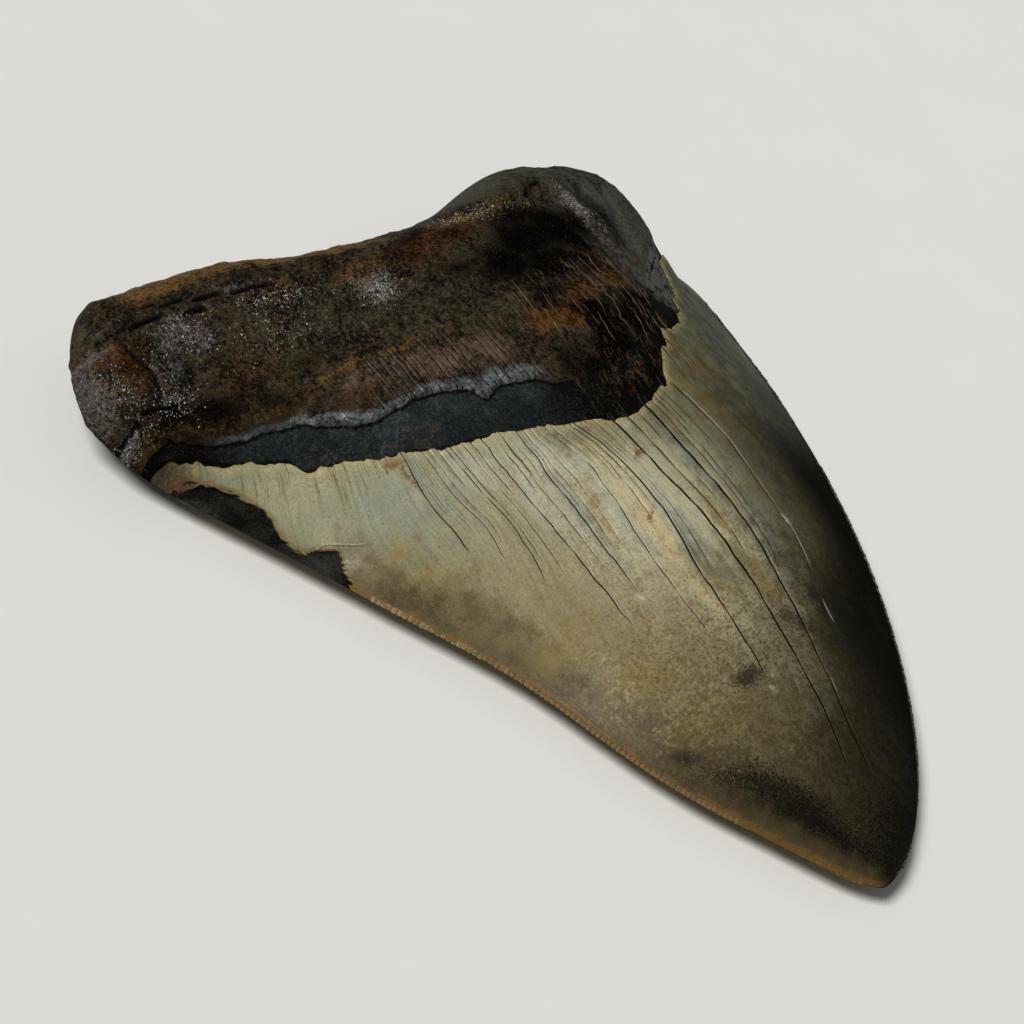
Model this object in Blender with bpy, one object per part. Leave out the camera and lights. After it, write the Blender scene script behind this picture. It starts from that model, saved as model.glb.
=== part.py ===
"""Megalodon tooth, one solid, lying on its labial face.

Lengths are millimetres in the shape functions and metres in the finished mesh.
X runs across the crown, +Y points from the tip to the root and +Z is the lingual side.
The shape functions put y = 0 on the line through the two crown corners.
The solid is a loft: growth lines run from the cutting edge to the basal edge over the
lingual face and back over the labial face, and each closed loop is one section.
"""
import math

import bmesh
import bpy
import numpy as np

# Outline, seen from the lingual side.
CROWN_HEIGHT = 97.6
CROWN_HALF_WIDTH = (52.55, 54.25)   # left, right
EDGE_POWER = (1.397, 1.818)         # how each cutting edge widens from the tip
EDGE_BOW = (24.1, 31.5)             # how far the middle of each edge leans to +X
EDGE_SWAY = (1.2, 0.0)              # the left edge is also slightly S-shaped:
EDGE_SWAY_IN = 0.52                 # it sways in at this share of the crown height
EDGE_SWAY_OUT = 0.27                # and out at this one
EDGE_SWAY_REACH = 0.12
LINE_END = (1.05, 0.945)            # last growth line, as a share of the half width
FAN_CENTRE = 5.0                    # growth lines spread from this x
FAN_CROWN = 0.001                   # spread per millimetre below the crown corners
FAN_ROOT = -0.001                   # and above them
NOTCH_X = 4.65                      # middle of the hollow between the root lobes
NOTCH_Y = 12.6
LOBE_Y = (21.1, 17.3)               # basal height of each lobe
LOBE_REACH = (53.5, 19.3)           # from the hollow's middle to the lobe's top
LOBE_CORNER = (0.907, 0.382)        # where the basal outline starts to round off
LOBE_ROUNDNESS = (1.5, 2.2)
ROOT_WALL_LINE = 41.25              # growth line of the right root wall, on the edge
SHOULDER_Y = -3.0                   # crown shoulder beyond the right root wall
SHOULDER_FALL = 1.5                 # how soon the shoulder slopes down to the cutting edge

# Heights, measured from the surface the tooth lies on.
EDGE_Z_CROWN = 4.0                  # cutting edges
EDGE_Z_ROOT = (9.7, 8.0)            # basal edge, left and right
EDGE_Z_LEFT_TO_RIGHT_X = (-10.0, 35.0)
EDGE_Z_CROWN_TO_ROOT_Y = (-8.0, 20.0)
LINGUAL_Y = (-97.6, -94.6, -78.6, -49.0, -26.0, -5.0, 8.0, 21.0)
LINGUAL_THICKNESS = (0.0, 3.0, 8.5, 14.5, 18.0, 19.2, 15.5, 12.5)
LABIAL_Y = (-97.6, -91.6, -60.0, -30.0, -8.0)
LABIAL_THICKNESS = (0.0, 1.8, 4.2, 3.2, 2.0)
CROWN_TO_ROOT_Y = (-14.0, 4.0)      # the crown section turns into the root section
LOBE_THICKNESS_SHARE = (0.485, 0.6)
LOBE_LEFT_TO_RIGHT_X = (-8.0, 8.0)
ROOT_BULGE_REACH = 26.0
ROOT_WALL_X = (-56.0, 47.6)
BLADE_BEYOND_WALL = 0.02            # keeps the shoulder beyond the wall a thin blade
WALL_ROUNDING = (6.7, 6.0)
BASAL_ROUNDING = 8.8
EDGE_ROUNDING = 5.0
TIP_ROUNDING = 3.0
ROUNDING_POWER = 2.2
LABIAL_HOLLOW_DEPTH = 1.6
LABIAL_HOLLOW_REACH = 15.0
LOBE_FOOT_X = 35.0                  # the labial face is lowest here on each lobe
LOBE_FOOT_Y = 8.0
FOOT_DEPTH = 0.6                    # how much of each lobe foot is worn flat
# Rise of the labial face away from the feet, as (share of the root depth, distance).
RISE_OUTSIDE_FOOT = (0.66, 18.0)
RISE_INSIDE_FOOT = (0.1, 20.0)
RISE_ALONG_FOOT = (0.12, 10.0)

# Mesh density.
GROWTH_LINES = 97
EDGE_TO_BASE_ROWS = 17
ROWS_TOWARD_EDGE = 1.3              # above 1 crowds the rows toward the cutting edge
ROUNDING_ROWS = 5
MILLIMETRE = 0.001


def side(s, pair):
    """Left or right value of a pair, for growth lines s from -1 to 1."""
    return np.where(s < 0, pair[0], pair[1])


def smooth(start, end, value):
    """Smooth step from 0 at start to 1 at end."""
    t = np.clip((value - start) / (end - start), 0, 1)
    return t * t * (3 - 2 * t)


def through(value, stations, heights):
    """Smooth curve through heights at rising stations."""
    stations = np.array(stations)
    heights = np.array(heights)
    slopes = np.gradient(heights, stations)
    i = np.clip(np.searchsorted(stations, value) - 1, 0, len(stations) - 2)
    gap = stations[i + 1] - stations[i]
    t = np.clip((value - stations[i]) / gap, 0, 1)
    start = (2 * t**3 - 3 * t**2 + 1) * heights[i] + (t**3 - 2 * t**2 + t) * gap * slopes[i]
    end = (3 * t**2 - 2 * t**3) * heights[i + 1] + (t**3 - t**2) * gap * slopes[i + 1]
    return start + end


def rounding(distance, radius, power=2.0):
    """0 on a rim and 1 from radius inward, along a rounded quarter section."""
    q = np.clip(distance / radius, 0, 1)
    return np.maximum(0, 1 - (1 - q)**power)**(1 / power)


def edge_x(height, s):
    """Lean of a cutting edge at a share of the crown height."""
    q = np.clip(height, 0, 1)
    sway_in = np.exp(-((q - EDGE_SWAY_IN) / EDGE_SWAY_REACH)**2)
    sway_out = np.exp(-((q - EDGE_SWAY_OUT) / EDGE_SWAY_REACH)**2)
    return side(s, EDGE_BOW) * q * (1 - q) + side(s, EDGE_SWAY) * (sway_in - sway_out)


def half_width(height, s):
    return side(s, CROWN_HALF_WIDTH) * np.maximum(height, 0)**(1 / side(s, EDGE_POWER))


def cutting_edge(s):
    """Plan position of the cutting edge at growth line s."""
    height = np.abs(s)**side(s, EDGE_POWER)
    x = edge_x(height, s) + side(s, CROWN_HALF_WIDTH) * s
    return x, -CROWN_HEIGHT * (1 - height)


def basal_edge(s):
    """Plan height of the basal outline at growth line s."""
    across = s * side(s, CROWN_HALF_WIDTH) - NOTCH_X
    reach = np.clip(np.abs(across) / side(across, LOBE_REACH), 0, 1)
    outline = NOTCH_Y + (side(across, LOBE_Y) - NOTCH_Y) * 0.5 * (1 - np.cos(math.pi * reach))
    last = side(s, LINE_END)
    y_last = -CROWN_HEIGHT * (1 - last**side(s, EDGE_POWER))
    base = np.where(s < 0, y_last, SHOULDER_Y)
    wall = np.where(s < 0, last, ROOT_WALL_LINE / CROWN_HALF_WIDTH[1])
    corner = side(s, LOBE_CORNER)
    power = side(s, LOBE_ROUNDNESS)
    q = np.clip((np.abs(s) - corner) / (wall - corner), 0, 1)
    root = base + (outline - base) * (1 - q**power)**(1 / power)
    beyond = np.clip((np.abs(s) - wall) / np.maximum(last - wall, 1e-9), 0, 1)
    shoulder = base + (y_last - base) * beyond**SHOULDER_FALL
    return np.where((s > 0) & (s > wall), shoulder, root)


def fan(y):
    return np.where(y < 0, 1 + FAN_CROWN * y, 1 + FAN_ROOT * y)


def edge_height(x, y):
    """Height of the rim where the lingual and labial faces meet."""
    left, right = EDGE_Z_ROOT
    root = left + (right - left) * smooth(*EDGE_Z_LEFT_TO_RIGHT_X, x)
    share = smooth(*EDGE_Z_CROWN_TO_ROOT_Y, y)
    return EDGE_Z_CROWN * (1 - share) + root * share


def lingual_thickness(x, y, crown, root):
    share = smooth(*CROWN_TO_ROOT_Y, y)
    left, right = LOBE_THICKNESS_SHARE
    lobe = left + (right - left) * smooth(*LOBE_LEFT_TO_RIGHT_X, x)
    middle = lobe + (1 - lobe) * np.exp(-(x / ROOT_BULGE_REACH)**2)
    section = (1 - share) * crown + share * middle * root
    return through(y, LINGUAL_Y, LINGUAL_THICKNESS) * section


def rise(distance, share, reach):
    return share * (distance / reach)**2


def labial_thickness(x, y, crown, root):
    share = smooth(*CROWN_TO_ROOT_Y, y)
    past_foot = np.abs(x) - LOBE_FOOT_X
    curve = 1 - rise(np.maximum(past_foot, 0), *RISE_OUTSIDE_FOOT)
    curve = curve - rise(np.minimum(past_foot, 0), *RISE_INSIDE_FOOT)
    curve = curve - rise(y - LOBE_FOOT_Y, *RISE_ALONG_FOOT)
    hollow = LABIAL_HOLLOW_DEPTH * np.exp(-(x / LABIAL_HOLLOW_REACH)**2)
    root_section = ((edge_height(x, y) + FOOT_DEPTH) * curve - hollow) * root
    crown_section = through(np.minimum(y, LABIAL_Y[-1]), LABIAL_Y, LABIAL_THICKNESS) * crown
    return (1 - share) * crown_section + share * root_section


def surface(s, t, lingual):
    """Point on the lingual or labial face, at share t of growth line s."""
    x_edge, y_edge = cutting_edge(s)
    y_base = basal_edge(s)
    y = y_edge + t * (y_base - y_edge)
    x = FAN_CENTRE + (x_edge - FAN_CENTRE) * fan(y) / fan(y_edge)
    height = np.maximum((y + CROWN_HEIGHT) / CROWN_HEIGHT, 1e-9)
    left = edge_x(height, -1) - half_width(height, -1)
    right = edge_x(height, 1) + half_width(height, 1)
    across = np.clip(np.abs(2 * x - left - right) / np.maximum(right - left, 1e-6), 0, 1)
    to_end = (side(s, LINE_END) - np.abs(s)) * side(s, CROWN_HALF_WIDTH)
    crown = (1 - across**2) * rounding(to_end, TIP_ROUNDING) * rounding(y_base - y, TIP_ROUNDING)
    to_wall = np.where(x < 0, x - ROOT_WALL_X[0], ROOT_WALL_X[1] - x)
    to_wall = np.maximum(to_wall, BLADE_BEYOND_WALL)
    root = rounding(to_wall, side(x, WALL_ROUNDING), ROUNDING_POWER)
    root = root * rounding(y_base - y, BASAL_ROUNDING, ROUNDING_POWER)
    root = root * rounding(y - y_edge, EDGE_ROUNDING)
    if lingual:
        z = edge_height(x, y) + lingual_thickness(x, y, crown, root)
    else:
        z = np.maximum(edge_height(x, y) - labial_thickness(x, y, crown, root), 0)
    return np.stack([x, y, z], axis=1)


def growth_lines():
    s = np.sin(np.linspace(-math.pi / 2, math.pi / 2, GROWTH_LINES))
    return s * side(s, LINE_END)


def row_shares(s):
    """Shares along each growth line, closer together over the rounded basal edge."""
    length = np.maximum(basal_edge(s) - cutting_edge(s)[1], 1e-9)
    rounded = np.minimum(BASAL_ROUNDING, length / 2) / length
    even = [i / EDGE_TO_BASE_ROWS for i in range(EDGE_TO_BASE_ROWS)]
    rows = [share**ROWS_TOWARD_EDGE * (1 - rounded) for share in even]
    for j in range(ROUNDING_ROWS + 1):
        rows.append(1 - rounded * (1 - math.sin(math.pi / 2 * j / ROUNDING_ROWS)))
    return rows


def tooth_mesh():
    s = growth_lines()
    shares = row_shares(s)
    lingual = [surface(s, t, True) for t in shares]
    labial = [surface(s, t, False) for t in shares[-2:0:-1]]
    grid = np.array(lingual + labial)
    middle = (grid.min(axis=(0, 1)) + grid.max(axis=(0, 1))) / 2
    grid = (grid - [middle[0], middle[1], 0]) * MILLIMETRE
    bm = bmesh.new()
    left_end = bm.verts.new(grid[0, 0])
    right_end = bm.verts.new(grid[0, -1])
    loops = [[bm.verts.new(point) for point in row[1:-1]] for row in grid]
    for row, next_row in zip(loops, loops[1:] + loops[:1]):
        bm.faces.new((left_end, row[0], next_row[0]))
        bm.faces.new((row[-1], right_end, next_row[-1]))
        for i in range(len(row) - 1):
            bm.faces.new((row[i], row[i + 1], next_row[i + 1], next_row[i]))
    bmesh.ops.recalc_face_normals(bm, faces=bm.faces[:])
    mesh = bpy.data.meshes.new("tooth")
    bm.to_mesh(mesh)
    bm.free()
    mesh.shade_smooth()
    return mesh


def enamel():
    material = bpy.data.materials.new("tooth_enamel")
    material.use_nodes = True
    shader = material.node_tree.nodes["Principled BSDF"]
    shader.inputs["Base Color"].default_value = (0.36, 0.33, 0.25, 1.0)
    shader.inputs["Roughness"].default_value = 0.45
    shader.inputs["Metallic"].default_value = 0.0
    material.diffuse_color = (0.36, 0.33, 0.25, 1.0)
    return material


def main():
    for leftover in list(bpy.data.objects):
        bpy.data.objects.remove(leftover, do_unlink=True)
    collection = bpy.data.collections.new("megalodon_tooth")
    bpy.context.scene.collection.children.link(collection)
    tooth = bpy.data.objects.new("tooth", tooth_mesh())
    tooth.data.materials.append(enamel())
    collection.objects.link(tooth)


main()
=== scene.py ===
"""A fossil megalodon tooth that lies on its labial face, on a pale studio floor.

The file is laid out as an add-on: one operator makes each piece, and a panel lists them.
Shape functions work in millimetres, with y = 0 on the line through the two crown corners,
+Y from the tip to the root and +Z on the lingual side. Meshes are in metres.
"""

import math

import bpy
import numpy as np
from bpy.props import FloatProperty, FloatVectorProperty, IntProperty, PointerProperty
from mathutils import Matrix, Vector


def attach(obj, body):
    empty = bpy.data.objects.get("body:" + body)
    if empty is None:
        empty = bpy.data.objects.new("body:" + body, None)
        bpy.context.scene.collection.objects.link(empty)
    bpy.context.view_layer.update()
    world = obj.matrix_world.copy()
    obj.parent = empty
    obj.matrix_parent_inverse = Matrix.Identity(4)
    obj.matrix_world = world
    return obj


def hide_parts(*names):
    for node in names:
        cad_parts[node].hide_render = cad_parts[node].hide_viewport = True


bl_info = {
    "name": "Megalodon Tooth",
    "version": (1, 0, 0),
    "blender": (4, 5, 0),
    "location": "View3D > Sidebar > Tooth",
    "description": "Builds a fossil shark tooth piece by piece",
    "category": "Add Mesh",
}

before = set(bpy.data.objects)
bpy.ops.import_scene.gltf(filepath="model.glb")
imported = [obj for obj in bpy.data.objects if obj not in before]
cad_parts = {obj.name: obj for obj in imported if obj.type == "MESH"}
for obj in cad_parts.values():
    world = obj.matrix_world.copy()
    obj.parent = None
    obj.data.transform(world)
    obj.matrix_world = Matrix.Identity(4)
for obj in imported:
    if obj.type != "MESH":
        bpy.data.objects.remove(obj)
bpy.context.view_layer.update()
BODY = "root"
NODE = "tooth"

# ---------------------------------------------------------------- shape of the tooth

MILLIMETRE = 0.001
BOX_MIDDLE = (-0.566, -38.264)      # middle of the model's box in the shape functions
INSET = 0.9968                      # the looks stay just inside the model's box

CROWN_HEIGHT = 97.6
CROWN_HALF_WIDTH = (52.55, 54.25)   # left, right
EDGE_POWER = (1.397, 1.818)         # how each cutting edge widens from the tip
EDGE_BOW = (24.1, 31.5)             # how far the middle of each edge leans to +X
EDGE_SWAY = (1.2, 0.0)              # the left edge is also slightly S-shaped
EDGE_SWAY_IN = 0.52
EDGE_SWAY_OUT = 0.27
EDGE_SWAY_REACH = 0.12
LINE_END = (1.05, 0.945)            # last growth line, as a share of the half width
FAN_CENTRE = 5.0
FAN_CROWN = 0.001
FAN_ROOT = -0.001
NOTCH_X = 4.65
NOTCH_Y = 12.6
LOBE_Y = (21.1, 17.3)
LOBE_REACH = (53.5, 19.3)
LOBE_CORNER = (0.907, 0.382)
LOBE_ROUNDNESS = (1.5, 2.2)
ROOT_WALL_LINE = 41.25
SHOULDER_Y = -3.0
SHOULDER_FALL = 1.5

EDGE_Z_CROWN = 4.0
EDGE_Z_ROOT = (9.7, 8.0)
EDGE_Z_LEFT_TO_RIGHT_X = (-10.0, 35.0)
EDGE_Z_CROWN_TO_ROOT_Y = (-8.0, 20.0)
LINGUAL_Y = (-97.6, -94.6, -78.6, -49.0, -26.0, -5.0, 8.0, 21.0)
LINGUAL_THICKNESS = (0.0, 3.0, 8.5, 14.5, 18.0, 19.2, 15.5, 12.5)
LABIAL_Y = (-97.6, -91.6, -60.0, -30.0, -8.0)
LABIAL_THICKNESS = (0.0, 1.8, 4.2, 3.2, 2.0)
CROWN_TO_ROOT_Y = (-14.0, 4.0)
LOBE_THICKNESS_SHARE = (0.485, 0.6)
LOBE_LEFT_TO_RIGHT_X = (-8.0, 8.0)
ROOT_BULGE_REACH = 26.0
ROOT_WALL_X = (-56.0, 47.6)
BLADE_BEYOND_WALL = 0.02
WALL_ROUNDING = (6.7, 6.0)
BASAL_ROUNDING = 8.8
EDGE_ROUNDING = 5.0
TIP_ROUNDING = 3.0
ROUNDING_POWER = 2.2
LABIAL_HOLLOW_DEPTH = 1.6
LABIAL_HOLLOW_REACH = 15.0
LOBE_FOOT_X = 35.0
LOBE_FOOT_Y = 8.0
FOOT_DEPTH = 0.6
RISE_OUTSIDE_FOOT = (0.66, 18.0)
RISE_INSIDE_FOOT = (0.1, 20.0)
RISE_ALONG_FOOT = (0.12, 10.0)

# Where the materials meet, seen from the lingual side, left to right.
ENAMEL_LINE = (
    (-51.3, -2.0), (-50.3, -3.1), (-48.9, -4.3), (-46.9, -5.5), (-44.8, -6.5),
    (-42.9, -7.6), (-39.4, -9.4), (-37.9, -10.1), (-36.1, -11.1),
    (-34.8, -13.4), (-33.4, -13.8), (-30.0, -15.5), (-26.6, -17.8), (-23.3, -18.7),
    (-19.4, -20.9), (-14.8, -22.3), (-7.1, -25.8), (-1.0, -27.6), (3.6, -29.6),
    (6.2, -30.0), (9.8, -29.6), (13.9, -28.2), (16.9, -27.5), (19.0, -25.3),
    (20.6, -23.9), (23.2, -22.1), (25.8, -19.5), (28.0, -19.0), (32.8, -18.0),
    (34.6, -16.1), (38.0, -13.5), (40.9, -10.7), (42.3, -6.6), (43.5, -6.0), (48.0, -4.0),
)
RIM_LINE = (
    (-50.6, -1.7), (-44.7, -4.9), (-39.4, -6.4), (-36.4, -7.2), (-32.1, -8.6),
    (-31.4, -9.6), (-27.6, -12.2), (-24.6, -13.4), (-19.4, -13.7), (-16.2, -14.4),
    (-12.4, -16.2), (-11.2, -18.2), (-10.5, -18.9), (-8.0, -18.0), (-5.1, -18.9),
    (-2.9, -19.5), (-0.8, -21.1), (3.0, -22.5), (12.0, -22.0), (20.0, -19.5), (28.0, -14.0),
    (36.0, -8.0), (44.0, -3.0),
)
RIDGE_LINE = (
    (-50.0, -1.0), (-43.0, -3.6), (-36.4, -5.0), (-31.3, -5.8), (-25.3, -5.7),
    (-22.5, -5.9), (-17.6, -7.0), (-11.8, -7.2), (-6.5, -8.8), (3.0, -10.0), (30.0, -6.0),
)
CHIP_LINE = (
    (-50.9, -3.9), (-49.7, -4.9), (-48.7, -5.8), (-46.7, -7.5), (-45.0, -8.8), (-43.1, -10.5),
    (-41.9, -12.2), (-40.9, -13.6), (-40.4, -15.6), (-40.4, -17.9), (-39.3, -21.0), (-37.9, -21.4),
    (-35.6, -23.3), (-36.0, -25.7), (-36.0, -27.8),
)
CHIP_CRACK = ((-38.2, -21.6), (-36.8, -21.7), (-35.4, -22.8), (-34.0, -24.0), (-32.6, -24.9))
CHIP_OUTSIDE = ((-36.0, -60.0), (-90.0, -60.0), (-90.0, -3.9))
LABIAL_LINE_Y = -6.0

# Long open fissures in the enamel, from the enamel line toward the tip.
LONG_FISSURES = (
    ((-34.6, -12.0), (-35.8, -15.9), (-37.0, -20.0), (-38.0, -24.0)),
    ((-24.0, -19.0), (-24.3, -25.0), (-23.5, -30.0), (-23.0, -34.6)),
    ((-21.8, -19.8), (-21.3, -26.0), (-19.9, -33.0), (-19.8, -40.0)),
    ((-19.4, -20.9), (-18.5, -26.5), (-17.1, -33.5), (-17.0, -44.8)),
    ((-14.7, -22.8), (-14.0, -30.0), (-12.7, -38.0), (-11.0, -50.0), (-10.8, -56.0)),
    ((-9.9, -25.3), (-9.6, -31.4), (-8.9, -38.2), (-7.8, -50.6)),
    ((-6.0, -26.6), (-4.2, -32.4), (-3.8, -46.0), (-3.4, -59.8), (-3.8, -64.4)),
    ((-2.1, -27.5), (0.4, -34.1), (1.5, -39.4), (0.9, -53.0), (0.1, -66.0), (-0.5, -69.9)),
    ((3.3, -29.5), (4.9, -37.7), (6.4, -44.3), (7.0, -53.0), (5.6, -67.4), (4.0, -78.5), (1.3, -86.7)),
    ((10.0, -29.6), (11.0, -37.0), (12.2, -44.0), (12.5, -50.0), (11.0, -60.0), (9.0, -69.0),
     (7.5, -76.0), (4.6, -88.0)),
    ((17.3, -27.0), (20.1, -38.6), (20.0, -46.0), (19.6, -54.0), (15.5, -64.6), (14.8, -72.4)),
)
LONG_FISSURE_STRENGTH = (0.0, 0.9, 0.45, 0.5, 0.6, 0.8, 0.55, 1.0, 1.0, 0.95, 0.5)


def side(s, pair):
    """Left or right value of a pair, for growth lines s from -1 to 1."""
    return np.where(s < 0, pair[0], pair[1])


def smooth(start, end, value):
    """Smooth step from 0 at start to 1 at end."""
    t = np.clip((value - start) / (end - start), 0, 1)
    return t * t * (3 - 2 * t)


def through(value, stations, heights):
    """Smooth curve through heights at rising stations."""
    stations = np.array(stations)
    heights = np.array(heights)
    slopes = np.gradient(heights, stations)
    i = np.clip(np.searchsorted(stations, value) - 1, 0, len(stations) - 2)
    gap = stations[i + 1] - stations[i]
    t = np.clip((value - stations[i]) / gap, 0, 1)
    start = (2 * t**3 - 3 * t**2 + 1) * heights[i] + (t**3 - 2 * t**2 + t) * gap * slopes[i]
    end = (3 * t**2 - 2 * t**3) * heights[i + 1] + (t**3 - t**2) * gap * slopes[i + 1]
    return start + end


def rounding(distance, radius, power=2.0):
    """0 on a rim and 1 from radius inward, along a rounded quarter section."""
    q = np.clip(distance / radius, 0, 1)
    return np.maximum(0, 1 - (1 - q)**power)**(1 / power)


def edge_x(height, s):
    """Lean of a cutting edge at a share of the crown height."""
    q = np.clip(height, 0, 1)
    sway_in = np.exp(-((q - EDGE_SWAY_IN) / EDGE_SWAY_REACH)**2)
    sway_out = np.exp(-((q - EDGE_SWAY_OUT) / EDGE_SWAY_REACH)**2)
    return side(s, EDGE_BOW) * q * (1 - q) + side(s, EDGE_SWAY) * (sway_in - sway_out)


def half_width(height, s):
    return side(s, CROWN_HALF_WIDTH) * np.maximum(height, 0)**(1 / side(s, EDGE_POWER))


def cutting_edge(s):
    """Plan position of the cutting edge at growth line s."""
    height = np.abs(s)**side(s, EDGE_POWER)
    x = edge_x(height, s) + side(s, CROWN_HALF_WIDTH) * s
    return x, -CROWN_HEIGHT * (1 - height)


def basal_edge(s):
    """Plan height of the basal outline at growth line s."""
    across = s * side(s, CROWN_HALF_WIDTH) - NOTCH_X
    reach = np.clip(np.abs(across) / side(across, LOBE_REACH), 0, 1)
    outline = NOTCH_Y + (side(across, LOBE_Y) - NOTCH_Y) * 0.5 * (1 - np.cos(math.pi * reach))
    last = side(s, LINE_END)
    y_last = -CROWN_HEIGHT * (1 - last**side(s, EDGE_POWER))
    base = np.where(s < 0, y_last, SHOULDER_Y)
    wall = np.where(s < 0, last, ROOT_WALL_LINE / CROWN_HALF_WIDTH[1])
    corner = side(s, LOBE_CORNER)
    power = side(s, LOBE_ROUNDNESS)
    q = np.clip((np.abs(s) - corner) / (wall - corner), 0, 1)
    root = base + (outline - base) * (1 - q**power)**(1 / power)
    beyond = np.clip((np.abs(s) - wall) / np.maximum(last - wall, 1e-9), 0, 1)
    shoulder = base + (y_last - base) * beyond**SHOULDER_FALL
    return np.where((s > 0) & (s > wall), shoulder, root)


def fan(y):
    return np.where(y < 0, 1 + FAN_CROWN * y, 1 + FAN_ROOT * y)


def edge_height(x, y):
    """Height of the rim where the lingual and labial faces meet."""
    left, right = EDGE_Z_ROOT
    root = left + (right - left) * smooth(*EDGE_Z_LEFT_TO_RIGHT_X, x)
    share = smooth(*EDGE_Z_CROWN_TO_ROOT_Y, y)
    return EDGE_Z_CROWN * (1 - share) + root * share


def lingual_thickness(x, y, crown, root):
    share = smooth(*CROWN_TO_ROOT_Y, y)
    left, right = LOBE_THICKNESS_SHARE
    lobe = left + (right - left) * smooth(*LOBE_LEFT_TO_RIGHT_X, x)
    middle = lobe + (1 - lobe) * np.exp(-(x / ROOT_BULGE_REACH)**2)
    section = (1 - share) * crown + share * middle * root
    return through(y, LINGUAL_Y, LINGUAL_THICKNESS) * section


def rise(distance, share, reach):
    return share * (distance / reach)**2


def labial_thickness(x, y, crown, root):
    share = smooth(*CROWN_TO_ROOT_Y, y)
    past_foot = np.abs(x) - LOBE_FOOT_X
    curve = 1 - rise(np.maximum(past_foot, 0), *RISE_OUTSIDE_FOOT)
    curve = curve - rise(np.minimum(past_foot, 0), *RISE_INSIDE_FOOT)
    curve = curve - rise(y - LOBE_FOOT_Y, *RISE_ALONG_FOOT)
    hollow = LABIAL_HOLLOW_DEPTH * np.exp(-(x / LABIAL_HOLLOW_REACH)**2)
    root_section = ((edge_height(x, y) + FOOT_DEPTH) * curve - hollow) * root
    crown_section = through(np.minimum(y, LABIAL_Y[-1]), LABIAL_Y, LABIAL_THICKNESS) * crown
    return (1 - share) * crown_section + share * root_section


def plan_x(s, y):
    """Plan x of growth line s at height y."""
    x_edge, y_edge = cutting_edge(s)
    return FAN_CENTRE + (x_edge - FAN_CENTRE) * fan(y) / fan(y_edge)


def surface(s, y):
    """Points on the lingual and on the labial face, on growth line s at height y."""
    x = plan_x(s, y)
    y_edge = cutting_edge(s)[1]
    y_base = basal_edge(s)
    height = np.maximum((y + CROWN_HEIGHT) / CROWN_HEIGHT, 1e-9)
    left = edge_x(height, -1) - half_width(height, -1)
    right = edge_x(height, 1) + half_width(height, 1)
    across = np.clip(np.abs(2 * x - left - right) / np.maximum(right - left, 1e-6), 0, 1)
    to_end = (side(s, LINE_END) - np.abs(s)) * side(s, CROWN_HALF_WIDTH)
    crown = (1 - across**2) * rounding(to_end, TIP_ROUNDING) * rounding(y_base - y, TIP_ROUNDING)
    to_wall = np.where(x < 0, x - ROOT_WALL_X[0], ROOT_WALL_X[1] - x)
    to_wall = np.maximum(to_wall, BLADE_BEYOND_WALL)
    root = rounding(to_wall, side(x, WALL_ROUNDING), ROUNDING_POWER)
    root = root * rounding(y_base - y, BASAL_ROUNDING, ROUNDING_POWER)
    root = root * rounding(y - y_edge, EDGE_ROUNDING)
    rim = edge_height(x, y)
    top = rim + lingual_thickness(x, y, crown, root)
    under = np.maximum(rim - labial_thickness(x, y, crown, root), 0)
    return np.stack([x, y, top], axis=-1), np.stack([x, y, under], axis=-1)


def to_frame(points):
    """From the shape functions' millimetres to the model's metres."""
    points = np.array(points, dtype=float)
    points[..., 0] = (points[..., 0] - BOX_MIDDLE[0]) * INSET
    points[..., 1] = (points[..., 1] - BOX_MIDDLE[1]) * INSET
    return points * MILLIMETRE


# ---------------------------------------------------------------- numbers over the surface

def lattice(ix, iy, iz, seed):
    """A fixed random number from 0 to 1 for each whole position."""
    mask = 0xFFFFFFFF
    h = (ix * 374761393 + iy * 668265263 + iz * 1442695041 + seed * 974634777) & mask
    h = ((h ^ (h >> 13)) * 1274126177) & mask
    return (h ^ (h >> 16)) / mask


def grain(x, y, z, seed):
    """Smooth value noise from -1 to 1, with features about one unit wide."""
    cells = [np.floor(v).astype(np.int64) for v in (x, y, z)]
    shares = [v - c for v, c in zip((x, y, z), cells)]
    shares = [t * t * (3 - 2 * t) for t in shares]
    total = 0
    for corner in range(8):
        steps = [(corner >> k) & 1 for k in range(3)]
        weight = 1
        for t, step in zip(shares, steps):
            weight = weight * (t if step else 1 - t)
        total = total + weight * lattice(*[c + step for c, step in zip(cells, steps)], seed)
    return total * 2 - 1


def mottle(x, y, z, size, seed, octaves=4):
    """Layered noise from about -1 to 1; size is one length or one for each axis."""
    sx, sy, sz = size if isinstance(size, tuple) else (size, size, size)
    total = 0
    for k in range(octaves):
        f = 2**k
        total = total + grain(x * f / sx, y * f / sy, z * f / sz, seed + k) / f
    return total / 1.6


def to_path(x, y, points):
    """Plan distance to an open chain of points."""
    best = np.full(np.shape(x), 1e9)
    for (ax, ay), (bx, by) in zip(points, points[1:]):
        dx, dy = bx - ax, by - ay
        t = np.clip(((x - ax) * dx + (y - ay) * dy) / (dx * dx + dy * dy), 0, 1)
        best = np.minimum(best, np.hypot(x - ax - t * dx, y - ay - t * dy))
    return best


def inside(x, y, points):
    """True inside a closed chain of points."""
    hit = np.zeros(np.shape(x), dtype=bool)
    for (ax, ay), (bx, by) in zip(points, points[1:] + points[:1]):
        if ay != by:
            crosses = (ay > y) != (by > y)
            hit ^= crosses & (x < (bx - ax) * (y - ay) / (by - ay) + ax)
    return hit


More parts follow.
